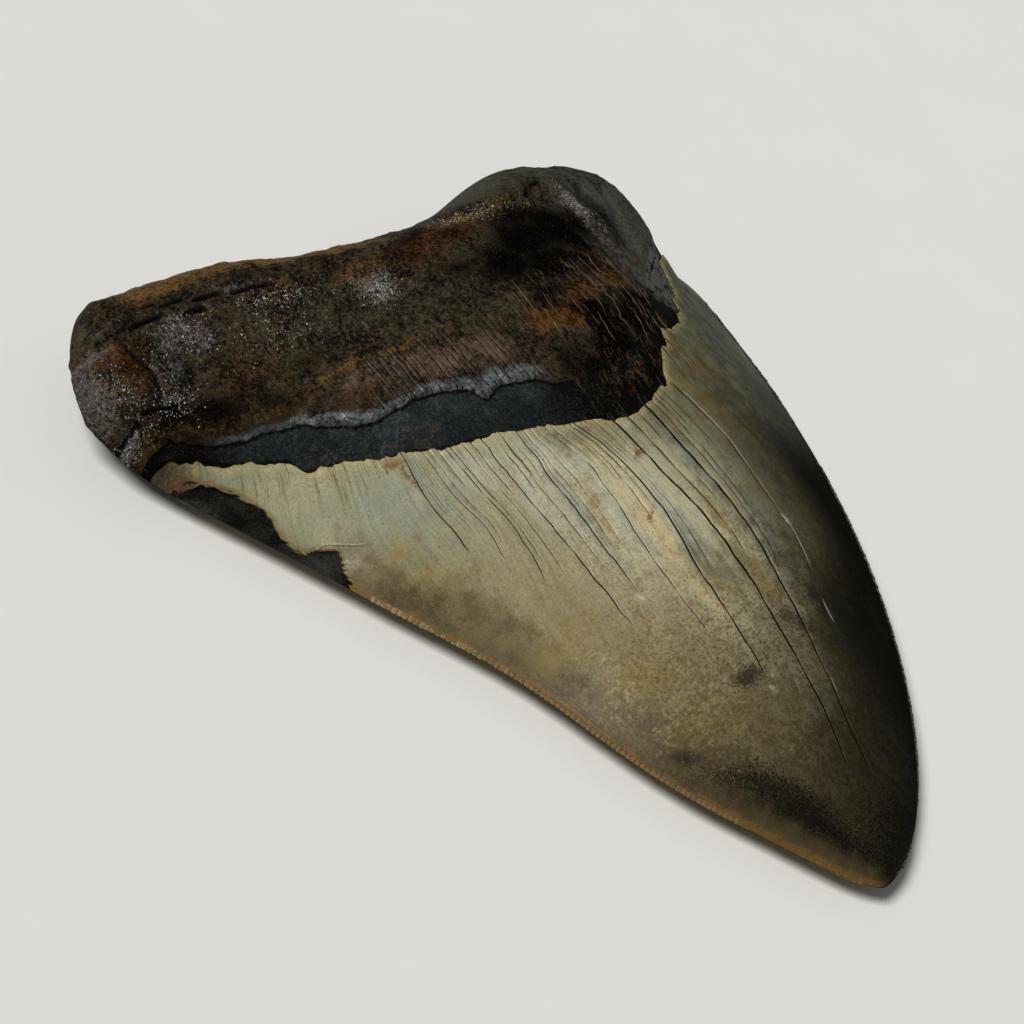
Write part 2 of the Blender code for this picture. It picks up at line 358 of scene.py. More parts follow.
def patches(x, y, spots, warp):
    """Soft, irregular patches: x, y, half length, half width, turn in degrees, strength."""
    total = np.zeros(np.shape(x))
    flat = np.zeros(np.shape(x))
    x, y = x + warp * mottle(x, y, flat, 5.0, 101, 4), y + warp * mottle(x, y, flat, 5.0, 111, 4)
    for px, py, long_half, short_half, turn, strength in spots:
        c, sn = math.cos(math.radians(turn)), math.sin(math.radians(turn))
        u = ((x - px) * c + (y - py) * sn) / long_half
        v = ((y - py) * c - (x - px) * sn) / short_half
        total = np.maximum(total, strength * np.exp(-(u * u + v * v)))
    return total


def on_line(x, line):
    return np.interp(x, [p[0] for p in line], [p[1] for p in line])


def enamel_line(x):
    """Ragged lower end of the root on the lingual face; finer on the left."""
    ragged = 0.22 + 0.55 * smooth(14, 20, x) * (1 - smooth(38, 42, x))
    zero = np.zeros(np.shape(x))
    chips = grain(x / 0.9, zero, zero, 11) + 0.6 * grain(x / 0.37, zero, zero, 12)
    slow = 0.35 * grain(x / 3.1, zero, zero, 13)
    line = on_line(x, ENAMEL_LINE) + ragged * chips + slow
    return np.where(x > ENAMEL_LINE[-1][0], line + 3 * (x - ENAMEL_LINE[-1][0]), line)


def labial_line(x):
    zero = np.zeros(np.shape(x))
    return LABIAL_LINE_Y + 1.6 * grain(x / 9.0, zero, zero, 21) + 0.3 * grain(x / 0.8, zero, zero, 22)


# ---------------------------------------------------------------- fissures and growth lines

def growth_line_at(x, y):
    """Growth line through one plan point."""
    lines = np.linspace(-LINE_END[0], LINE_END[1], 2400)
    return float(np.interp(x, plan_x(lines, y), lines))


def long_fissures(sizes):
    """Growth line, start and end height, strength and half width of each long fissure."""
    listed = []
    for route, strength in zip(LONG_FISSURES, LONG_FISSURE_STRENGTH):
        x, y = route[len(route) // 2]
        width = sizes.fissure_width / MILLIMETRE / 2 * (0.6 + 0.4 * strength)
        listed.append((growth_line_at(x, y), route[0][1] + 2, route[-1][1], strength, width))
    return listed


def hairlines(sizes):
    """Short fine fissures that start at the enamel line."""
    rng = np.random.default_rng(sizes.seed)
    listed = []
    for i in range(sizes.hairline_count):
        share = (i + rng.uniform(-0.35, 0.35)) / sizes.hairline_count
        s = -0.66 + share * 1.5
        x = float(plan_x(s, -25.0))
        start = float(on_line(x, ENAMEL_LINE))
        busy = 0.3 + 0.7 * max(math.exp(-((x - 9) / 16)**2), 0.8 * math.exp(-((x + 13) / 9)**2))
        length = rng.uniform(2.5, 8) + busy * rng.uniform(2, 26)
        if x < LONG_FISSURES[1][0][0]:
            length = rng.uniform(1.2, 3.6)
        strength = rng.uniform(0.2, 0.45) + 0.25 * busy * rng.uniform(0, 1)
        listed.append((s, start + 2, start - length, strength, rng.uniform(0.07, 0.12)))
    return listed


def steering(sizes):
    """How far each long fissure strays from its growth line, at a set of heights."""
    heights = np.linspace(-CROWN_HEIGHT, 24, 260)
    strays = []
    for k, (route, (s, *_)) in enumerate(zip(LONG_FISSURES, long_fissures(sizes))):
        xs = [p[0] for p in route][::-1]
        ys = [p[1] for p in route][::-1]
        reach = np.clip(heights, ys[0], ys[-1])
        flat = np.zeros(reach.shape)
        wave = 0.14 * grain(reach / 2.4, flat + k, flat, 35) + 0.06 * grain(reach / 0.9, flat + k, flat, 36)
        across = through(reach, ys, xs) + wave
        strays.append([growth_line_at(x, y) - s for x, y in zip(across, reach)])
    knots = np.array([line[0] for line in long_fissures(sizes)])
    return heights, strays, np.concatenate([[knots[0] - 0.16], knots, [knots[-1] + 0.16]])


def steered(routes, s, y):
    """Growth lines bent so that they follow the long fissures."""
    heights, strays, knots = routes
    s_all = np.broadcast_to(s, y.shape)
    bend = np.zeros(y.shape)
    for k, stray in enumerate(strays):
        hat = np.interp(s_all, knots, np.eye(len(knots))[k + 1])
        bend = bend + hat * np.interp(y, heights, stray)
    return s_all + bend * smooth(0.5, 9.0, y - cutting_edge(s_all)[1])


def with_lines(even, centres, offsets, clear):
    """Even growth lines, plus lines at offsets from each centre, and none crowding those."""
    kept = [s for s in even if np.min(np.abs(centres - s)) > clear]
    near = [s + d for s, spread in zip(centres, offsets) for d in spread]
    low, high = min(even), max(even)
    near = [s for s in near if low < s < high]
    return np.array(sorted(set(kept + near)))


def row_shares(count):
    """Shares from 0 to 1, closer together at both ends."""
    u = np.linspace(0, 1, count)
    return u - 0.08 * np.sin(2 * math.pi * u)


def meeting_height(bend, s, line, low, high):
    """Height where each growth line, once bent, meets a line across the tooth."""
    y = (low + high) / 2
    for _ in range(12):
        y = np.clip(line(plan_x(bend(s, y), y)), low, high)
    return y


def straight(s, y):
    """Growth lines left as they are."""
    return np.broadcast_to(s, np.shape(y))


# ---------------------------------------------------------------- making meshes

def outward(points):
    """Unit normals of a grid of points."""
    normal = np.cross(np.gradient(points, axis=1), np.gradient(points, axis=0))
    return normal / np.maximum(np.linalg.norm(normal, axis=-1, keepdims=True), 1e-9)


def loop_mesh(name, points, fields):
    """A closed mesh from loops of points whose first and last columns are single ends."""
    rows, columns = points.shape[:2]
    inner = columns - 2

    def packed(values):
        body = values[:, 1:-1].reshape((rows * inner,) + values.shape[2:])
        ends = np.stack([values[:, 0].mean(axis=0), values[:, -1].mean(axis=0)])
        return np.concatenate([body, ends])

    row = np.arange(rows)[:, None]
    next_row = (row + 1) % rows
    column = np.arange(inner - 1)[None, :]
    quads = np.stack([row * inner + column, row * inner + column + 1,
                      next_row * inner + column + 1, next_row * inner + column], axis=-1)
    left, right = rows * inner, rows * inner + 1
    r, n = row[:, 0] * inner, next_row[:, 0] * inner
    lefts = np.stack([np.full(rows, left), r, n], axis=-1)
    rights = np.stack([r + inner - 1, np.full(rows, right), n + inner - 1], axis=-1)
    faces = quads.reshape(-1, 4).tolist() + lefts.tolist() + rights.tolist()
    mesh = bpy.data.meshes.new(name)
    mesh.from_pydata(to_frame(packed(points)).tolist(), [], faces)
    for label, values in fields.items():
        values = packed(values)
        kind = "FLOAT_VECTOR" if values.ndim == 2 else "FLOAT"
        layer = mesh.attributes.new(label, kind, "POINT")
        layer.data.foreach_set("vector" if values.ndim == 2 else "value", values.ravel())
    mesh.shade_smooth()
    return mesh


def show(name, mesh, material):
    """Adds a piece that stands for the tooth and rides with it."""
    mesh.materials.append(material)
    piece = bpy.data.objects.new(name, mesh)
    bpy.context.scene.collection.objects.link(piece)
    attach(piece, BODY)
    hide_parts(NODE)
    return piece


# ---------------------------------------------------------------- enamel crown

# Soft patches: x, y, half length, half width, turn in degrees, strength.
CROWN_STAINS = {
    # cream patches: the cream middle of the crown, partly a painted sheen there
    "cream": ((-1, -42, 26, 14, -70, 1), (12, -36, 14, 7, -75, 0.5), (9, -52, 16, 3.2, -80, 1)),
    "tan": (
        (-16, -54, 24, 13, -55, 1), (-3, -76, 17, 10, -65, 1), (-25, -38, 10, 5, -45, 0.5),
        (8, -66, 14, 8, -75, 0.6)),
    "olive": (
        (-34, -25, 3, 2.4, -35, 0.8), (-31, -29, 4, 2.6, -35, 0.7), (3, -54, 6, 3, -75, 0.9),
        (7.5, -53.5, 5, 2.5, -75, 0.8), (-2, -29, 10, 2.6, -25, 0.8), (12, -31, 9, 5, -10, 0.9),
        (26, -38, 30, 12, -78, 0.9), (24, -60, 22, 9, -75, 1), (36, -22, 10, 8, -60, 0.45)),
    "yellow": (
        (8.1, -57.4, 4.5, 1.4, -85, 1), (-12.6, -59.4, 5, 3, -40, 0.8), (-10.6, -68.2, 4, 3, -30, 0.8),
        (9.2, -46.9, 6, 1.6, -82, 0.8), (-6.8, -36.7, 6, 1.4, -85, 0.6), (32, -52, 12, 4, -78, 0.8),
        (17, -75, 5, 3, -60, 0.7), (26, -24, 9, 3, -60, 0.8), (-20, -50, 5, 3, 0, 0.6),
        (22, -31, 8, 2.5, -65, 0.7), (33, -25, 7, 2, -60, 0.5), (-28, -34, 4, 3, -40, 0.5),
        (3, -29, 4, 1.2, -10, 0.5), (-30, -28, 3, 2, 0, 0.5)),
    "smoke": (
        (-2.7, -66.6, 2.6, 1.5, -20, 1), (0.6, -65.6, 2.2, 1, 30, 0.5), (7.9, -63, 1.8, 1.2, 0, 0.8),
        (10, -64.7, 2.6, 1.6, -40, 0.7), (12, -67, 5, 1.6, -70, 0.5), (-13.9, -70.5, 4, 1.8, -50, 0.85),
        (-19.4, -53.4, 3, 1.6, -50, 0.5), (-31.6, -34.4, 7, 2.4, -48, 0.7),
        (-24, -49, 12, 1.8, -56, 0.5), (2, -80, 8, 5, -50, 0.4), (15, -60, 9, 2.4, -75, 0.4),
        (24, -46, 9, 3, -75, 0.4), (31, -30, 8, 2, -65, 0.4)),
    # near-black grey over the right flank: partly the flank's own smooth grey, partly painted shade where the
    # light falls off
    "grey_flank": (
        (45, -30, 32, 9, -68, 1), (38, -58, 30, 6, -72, 1), (25, -82, 26, 5, -70, 1),
        (49, -12, 10, 6, -60, 1)),
    "pale_blue": (
        (-27, -24, 9, 6, -40, 0.8), (-8, -40, 10, 1.4, -86, 0.9), (2.8, -46, 7, 1.7, -80, 1),
        (14.7, -53, 10, 1.7, -90, 0.9), (10, -38, 8, 1.6, -82, 0.7), (4.2, -75, 4, 1, -75, 0.6),
        (-14, -33, 10, 3, -75, 0.5), (24, -44, 12, 2.4, -78, 0.6), (30, -33, 12, 3, -70, 0.5)),
    "rust": (
        (-25.6, -18.8, 1.5, 0.9, -12, 1), (-24.9, -21.2, 2.2, 0.45, -85, 0.9),
        (20.1, -38.2, 1.2, 0.7, 0, 0.8), (20, -45, 1.4, 0.9, 60, 0.7), (27.5, -36.5, 4.5, 0.4, -68, 0.6),
        (3.6, -30.6, 1.6, 0.7, 0, 0.6), (24.5, -26, 2, 0.8, -50, 0.6), (3.8, -34.8, 0.8, 0.5, 0, 0.8),
        (-0.7, -42.7, 0.9, 0.5, 40, 0.9), (-0.9, -44.2, 0.4, 0.3, 0, 0.8),
        (15.6, -44.8, 0.8, 0.5, 0, 0.8), (-5.9, -27.2, 1.2, 0.6, -20, 0.7)),
    "glint": (
        (4.6, -30.8, 0.7, 0.6, 0, 1), (-15.7, -53.9, 0.5, 0.4, 0, 0.7), (0.8, -68.3, 0.7, 0.5, 0, 0.6),
        (-0.5, -69.7, 1, 0.5, -60, 0.5), (20.3, -50.9, 0.9, 0.4, -70, 0.8),
        (-7.9, -50.7, 0.9, 0.4, -70, 0.7)),
    "peach": (
        (-0.9, -46, 9, 1.3, -86, 1), (0, -56, 5, 1.4, -86, 0.8), (-2.2, -38, 4, 1.2, -75, 0.6),
        (-26, -24, 1.5, 1.5, 0, 0.4)),
    # bright patches: a painted highlight, the pool of light in the middle of the crown; the last one is a
    # pale flake below the crack at the chip
    "bright": (
        (-12, -34, 8, 2.4, -75, 1), (-10, -41, 7, 2, -80, 0.9), (-7, -47, 6, 1.8, -82, 0.8),
        (-6, -33, 8, 2.2, -80, 1), (-9.4, -28, 4, 2, -60, 0.9), (-4.6, -40, 7, 1.6, -85, 0.9),
        (-1.9, -46, 5, 1.2, -85, 0.6), (-17, -26, 5, 2, -70, 0.7), (3, -39, 5, 1.3, -82, 0.6),
        (-35.1, -25.6, 1.7, 1.2, -50, 0.8)),
}
# How far the edges of the patches wander; the smallest ones stay nearly in place.
PATCH_WARP = 1.3
SHARP_WARP = 0.3
SHARP_STAINS = ("rust", "glint")


def crown_lines(sizes, low, high):
    """Growth lines of the crown, with close ones along each fissure."""
    even = np.sin(np.linspace(-math.pi / 2, math.pi / 2, sizes.crown_lines))
    even = even * side(even, LINE_END)
    even = np.concatenate([[low], even[(even > low) & (even < high)], [high]])
    centres, offsets = [], []
    for s, _, _, _, width in long_fissures(sizes):
        d = width / CROWN_HALF_WIDTH[0]
        centres.append(s)
        offsets.append((-2.4 * d, -d, 0, d, 2.4 * d))
    for s, _, _, _, width in hairlines(sizes):
        d = width / CROWN_HALF_WIDTH[0]
        if min(abs(s - c) for c in centres) > 0.014:
            centres.append(s)
            offsets.append((-d, 0, d))
    return with_lines(even, np.array(centres), offsets, 0.0024)


def fissure_marks(s, y, lines):
    """How open each fissure is at every point: 1 on its own growth line, 0 beside it."""
    mark = np.zeros(y.shape)
    for k, (centre, start, end, strength, _) in enumerate(lines):
        here = np.abs(s - centre) < 1e-7
        if not here.any():
            continue
        fade = smooth(end, end + (0.35 - 0.2 * strength) * (start - end), y[:, here])
        gaps = 0.75 + 0.45 * grain(y[:, here] / 1.7, y[:, here] * 0 + k, y[:, here] * 0, 31)
        mark[:, here] = strength * fade * np.clip(gaps, 0, 1)
    return mark


def crown_span():
    """First and last growth line that cross enamel on the lingual face."""
    s = np.linspace(-LINE_END[0], LINE_END[1], 4000)
    y_edge = cutting_edge(s)[1]
    line = np.minimum(enamel_line(plan_x(s, y_edge)), basal_edge(s))
    open_lines = s[line - y_edge > 0.02]
    return open_lines[0], LINE_END[1]


def crown_points(sizes):
    low, high = crown_span()
    s = crown_lines(sizes, low, high)
    y_edge, y_base = cutting_edge(s)[1], basal_edge(s)
    routes = steering(sizes)
    y_line = meeting_height(lambda s, y: steered(routes, s, y), s, enamel_line, y_edge, y_base)
    y_labial = meeting_height(straight, s, labial_line, y_edge, y_base)
    front = row_shares(sizes.crown_rows)[1:, None]
    back = row_shares(sizes.labial_rows)[:0:-1, None]
    y_front = y_edge + front * (y_line - y_edge)
    y_back = y_edge + back * (y_labial - y_edge)
    s_front = steered(routes, s, y_front)
    s_all = np.broadcast_to(s, y_back.shape)
    edge = surface(s, y_edge)[0][None]
    top, _ = surface(s_front, y_front)
    _, under = surface(s_all, y_back)
    points = np.concatenate([under, edge, top])
    y_rows = np.concatenate([y_back, y_edge[None], y_front])
    lines = np.broadcast_to(s, y_rows.shape)
    lingual = np.concatenate([np.zeros(y_back.shape), np.full(edge.shape[:2], 0.5),
                              np.ones(y_front.shape)])
    return s, points, y_rows, lines, lingual


# Height, size of the features, seed and octaves of each layer of relief.
ENAMEL_SWELL = ((0.10, 14.0, 43, 3), (0.022, (1.6, 16.0, 16.0), 47, 3), (0.012, 0.9, 51, 2))
ENAMEL_SINK = 0.16                  # keeps the swells inside the model
ROOT_ROUGH = ((0.32, 6.0, 71, 4), (0.26, 1.5, 75, 3))
ROOT_SINK = 0.36


def relief(x, y, z, layers):
    return sum(height * mottle(x, y, z, *layer) for height, *layer in layers)


def crown_mesh(sizes):
    s, points, y_rows, lines, lingual = crown_points(sizes)
    x, y, z = points[..., 0], points[..., 1], points[..., 2]
    x_edge, y_edge = cutting_edge(s)
    slope = np.abs(np.gradient(y_edge, s) / np.maximum(np.abs(np.gradient(x_edge, s)), 1e-6))
    from_edge = (y_rows - y_edge) / np.sqrt(1 + slope**2)
    thick_top, thick_under = surface(lines, y_rows)
    thickness = (thick_top - thick_under)[..., 2]
    line = np.where(lingual > 0.5, enamel_line(x), labial_line(x))
    from_line = line - y

    chip = CHIP_LINE + CHIP_OUTSIDE
    to_chip = to_path(x, y, CHIP_LINE)
    to_chip = to_chip + 0.25 * grain(x / 0.7, y / 0.7, z * 0, 41)
    missing = np.where(inside(x, y, chip), to_chip, -to_chip)
    missing = np.where(lingual > 0, missing, -9.0)

    marks = fissure_marks(s, y_rows, long_fissures(sizes) + hairlines(sizes)) * (lingual > 0.5)
    grooves = marks * sizes.fissure_depth / MILLIMETRE
    swell = relief(x, y, z, ENAMEL_SWELL)
    broken = mottle(x, y, z, 2.4, 55, 5)
    drop = sizes.chip_depth / MILLIMETRE * smooth(0.0, 0.35, missing)
    drop = drop + smooth(0.1, 1.2, missing) * (0.40 + 0.8 * broken)
    lip = 0.12 * np.exp(-((from_line - 0.2) / 0.35)**2) * (lingual > 0.5)
    worn = 0.05 * np.exp(-((from_edge - 1.15) / 0.25)**2)
    depth = ENAMEL_SINK - swell + grooves + drop + lip + worn
    depth = np.clip(depth, 0.02, 0.42 * thickness) * smooth(0.0, 0.5, from_edge)
    normal = outward(points)
    fields = {
        "fissure": marks,
        "missing": np.clip(missing, -5, 5),
        "over_crack": np.clip(y - on_line(x, CHIP_CRACK), -3, 3),
        "at_crack": smooth(-38.6, -37.8, x) * smooth(-32.2, -33.6, x),
        "from_edge": np.clip(from_edge, 0, 30),
        "from_line": np.clip(from_line, 0, 40),
        "lingual": lingual,
        "left_half": smooth(0.03, -0.03, lines),
        # painted shade of the right flank and the tip, partly the tip's own dark tone
        "dark_tone_and_shade": dark_tone_and_shade(lines, y),
        "sliver": smooth(*SLIVER, lines) * (lingual > 0),
        "lower": smooth(LOWER[0], LOWER[1], y) * smooth(0.75, 0.35, lines),
        "pepper": pepper(x, y, z, lines, from_edge) * (lingual > 0),
        "margin": margin(x, y, z, lines, from_edge) * (lingual > 0),
        "beside": s_beside(sizes, lines, y_rows) * (lingual > 0.5),
        "flow": np.stack([lines * CROWN_HALF_WIDTH[0], y_rows, z], axis=-1),
    }
    for label, spots in CROWN_STAINS.items():
        warp = SHARP_WARP if label in SHARP_STAINS else PATCH_WARP
        fields[label] = patches(x, y, spots, warp) * (lingual > 0)
    points = points - normal * depth[..., None]
    foot = points[-1:] - normal[-1:] * np.minimum(0.8, 0.4 * thickness[-1:])[..., None]
    points = np.concatenate([points, foot])
    fields = {label: np.concatenate([v, v[-1:]]) for label, v in fields.items()}
    return loop_mesh("enamel_crown", points, fields)


# Painted shade: the enamel is painted darker toward the right flank and the tip, where the light falls off;
# toward the tip this is partly the enamel's own dark tone. (from, to) along each direction.
DUSK_RIGHT = (0.03, 0.54)           # growth line
DUSK_SHIFT = 0.13                   # how far the painted shade moves left below DUSK_SHIFT_DOWN
DUSK_SHIFT_DOWN = (-50.0, -68.0)
DUSK_UPPER = 0.52                   # its share above DUSK_RIGHT_DOWN
DUSK_RIGHT_DOWN = (-20.0, -47.0)
DUSK_TIP = (-46.0, -88.0)
DUSK_TIP_SHARE = 0.9
SLIVER = (-0.915, -0.99)            # the thin dark end of the enamel at the left corner
PEPPER_LEFT = (-64.0, -92.0)
PEPPER_REACH = (2.5, 16.0)          # width of the dark left margin, above and at the tip
PEPPER_RIGHT = (0.52, 0.72, 0.90, 0.99)
PEPPER_RIGHT_DOWN = (-30.0, -62.0)
PEPPER_TIP = (-84.0, -94.0)
MARGIN_REACH = 6.5
MARGIN_TOP = -22.0
LOWER = (-44.0, -64.0)              # where the growth streaks give way to fine mottling


def dark_tone_and_shade(lines, y):
    """How much darker the enamel is painted than in the middle of the crown: painted shade where the light
    falls off on the right flank and toward the tip, partly the tip's own dark tone.
    """
    right = smooth(*DUSK_RIGHT, lines + DUSK_SHIFT * smooth(*DUSK_SHIFT_DOWN, y))
    right = right * (DUSK_UPPER + (1 - DUSK_UPPER) * smooth(*DUSK_RIGHT_DOWN, y))
    return 1 - (1 - right) * (1 - DUSK_TIP_SHARE * smooth(*DUSK_TIP, y))


def pepper(x, y, z, lines, from_edge):
    """Density of the fine black specks along the margins and at the tip."""
    wander = mottle(x, y, z, 6.0, 121, 4)
    narrow, wide = PEPPER_REACH
    reach = (narrow + (wide - narrow) * smooth(*PEPPER_LEFT, y)) * (1 + 0.6 * wander)
    left = smooth(reach, 0.2 * reach, from_edge) * smooth(0.1, -0.1, lines)
    left = left * smooth(PEPPER_LEFT[0] + 4, PEPPER_LEFT[0] - 12, y)
    near, full, fading, last = PEPPER_RIGHT
    at = lines + 0.06 * wander
    right = smooth(near, full, at) * smooth(last, fading, at) * smooth(*PEPPER_RIGHT_DOWN, y)
    tip = smooth(*PEPPER_TIP, y + 3 * wander)
    return np.maximum(np.maximum(left, 0.8 * right), 0.8 * tip)


def margin(x, y, z, lines, from_edge):
    """The tan and smoky strip just inside the left cutting edge."""
    reach = MARGIN_REACH * (1 + 0.5 * mottle(x, y, z, 7.0, 131, 4))
    strip = smooth(reach, 0.6 * reach, from_edge) * smooth(0.1, -0.1, lines)
    return strip * smooth(MARGIN_TOP, MARGIN_TOP - 8, y)


PALE_LINES = (9, 10)                # long fissures that have a pale line beside them


def s_beside(sizes, lines, y):
    """Thin pale mineral lines beside some of the fissures."""
    mark = np.zeros(y.shape)
    for k in PALE_LINES:
        centre, _, end, _, width = long_fissures(sizes)[k]
        at = centre + 2.4 * width / CROWN_HALF_WIDTH[0]
        here = np.abs(lines - at) < 1e-7
        bright = smooth(end, end + 8, y) * np.clip(0.6 + 0.9 * grain(y / 2.3, y * 0 + k, y * 0, 33), 0, 1)
        mark = np.where(here, bright, mark)
    return mark


# ---------------------------------------------------------------- root

ROOT_CRACKS = (
    ((-44.6, 17.6), (-43.2, 16.1), (-39.0, 14.5), (-34.9, 13.5), (-27.9, 11.5), (-24.0, 10.2)),
    ((-50.9, 14.0), (-48.5, 13.5), (-43.5, 13.0), (-38.4, 12.3), (-34.3, 11.2)),
    ((26.9, 9.3), (28.4, 9.8), (30.0, 10.6), (31.6, 11.5)),
    ((7.4, 9.4), (13.9, 8.7), (20.9, 8.2), (26.0, 9.2)),
    ((33.4, 7.0), (33.4, 4.0), (34.7, 0.9), (34.4, -0.9), (34.2, -4.0), (31.5, -7.3)),
    ((40.6, 8.0), (40.3, 5.4), (39.0, 0.8), (37.6, -4.8)),
    ((41.8, -6.0), (35.9, -9.3), (27.6, -15.1)),
    ((-53.5, 2.0), (-49.5, 1.4), (-47.5, 0.2)),
    ((-48.5, 10.5), (-47.2, 6.0), (-48.6, 2.5)),
    ((36.6, 7.5), (37.0, 4.0), (37.6, 0.5), (36.8, -3.5)),
)
ROOT_CRACK_DEPTH = (1.4, 1.3, 2.0, 0.40, -0.45, 0.60, 0.25, 0.8, 0.5, 0.7)
ROOT_CRACK_WIDTH = (0.42, 0.42, 0.50, 0.45, 0.90, 0.70, 0.12, 0.40, 0.60, 1.1)
ROOT_CRACK_DARK = (1.0, 1.0, 1.0, 0.4, 0.0, 0.35, 1.0, 0.9, 0.6, 0.5)
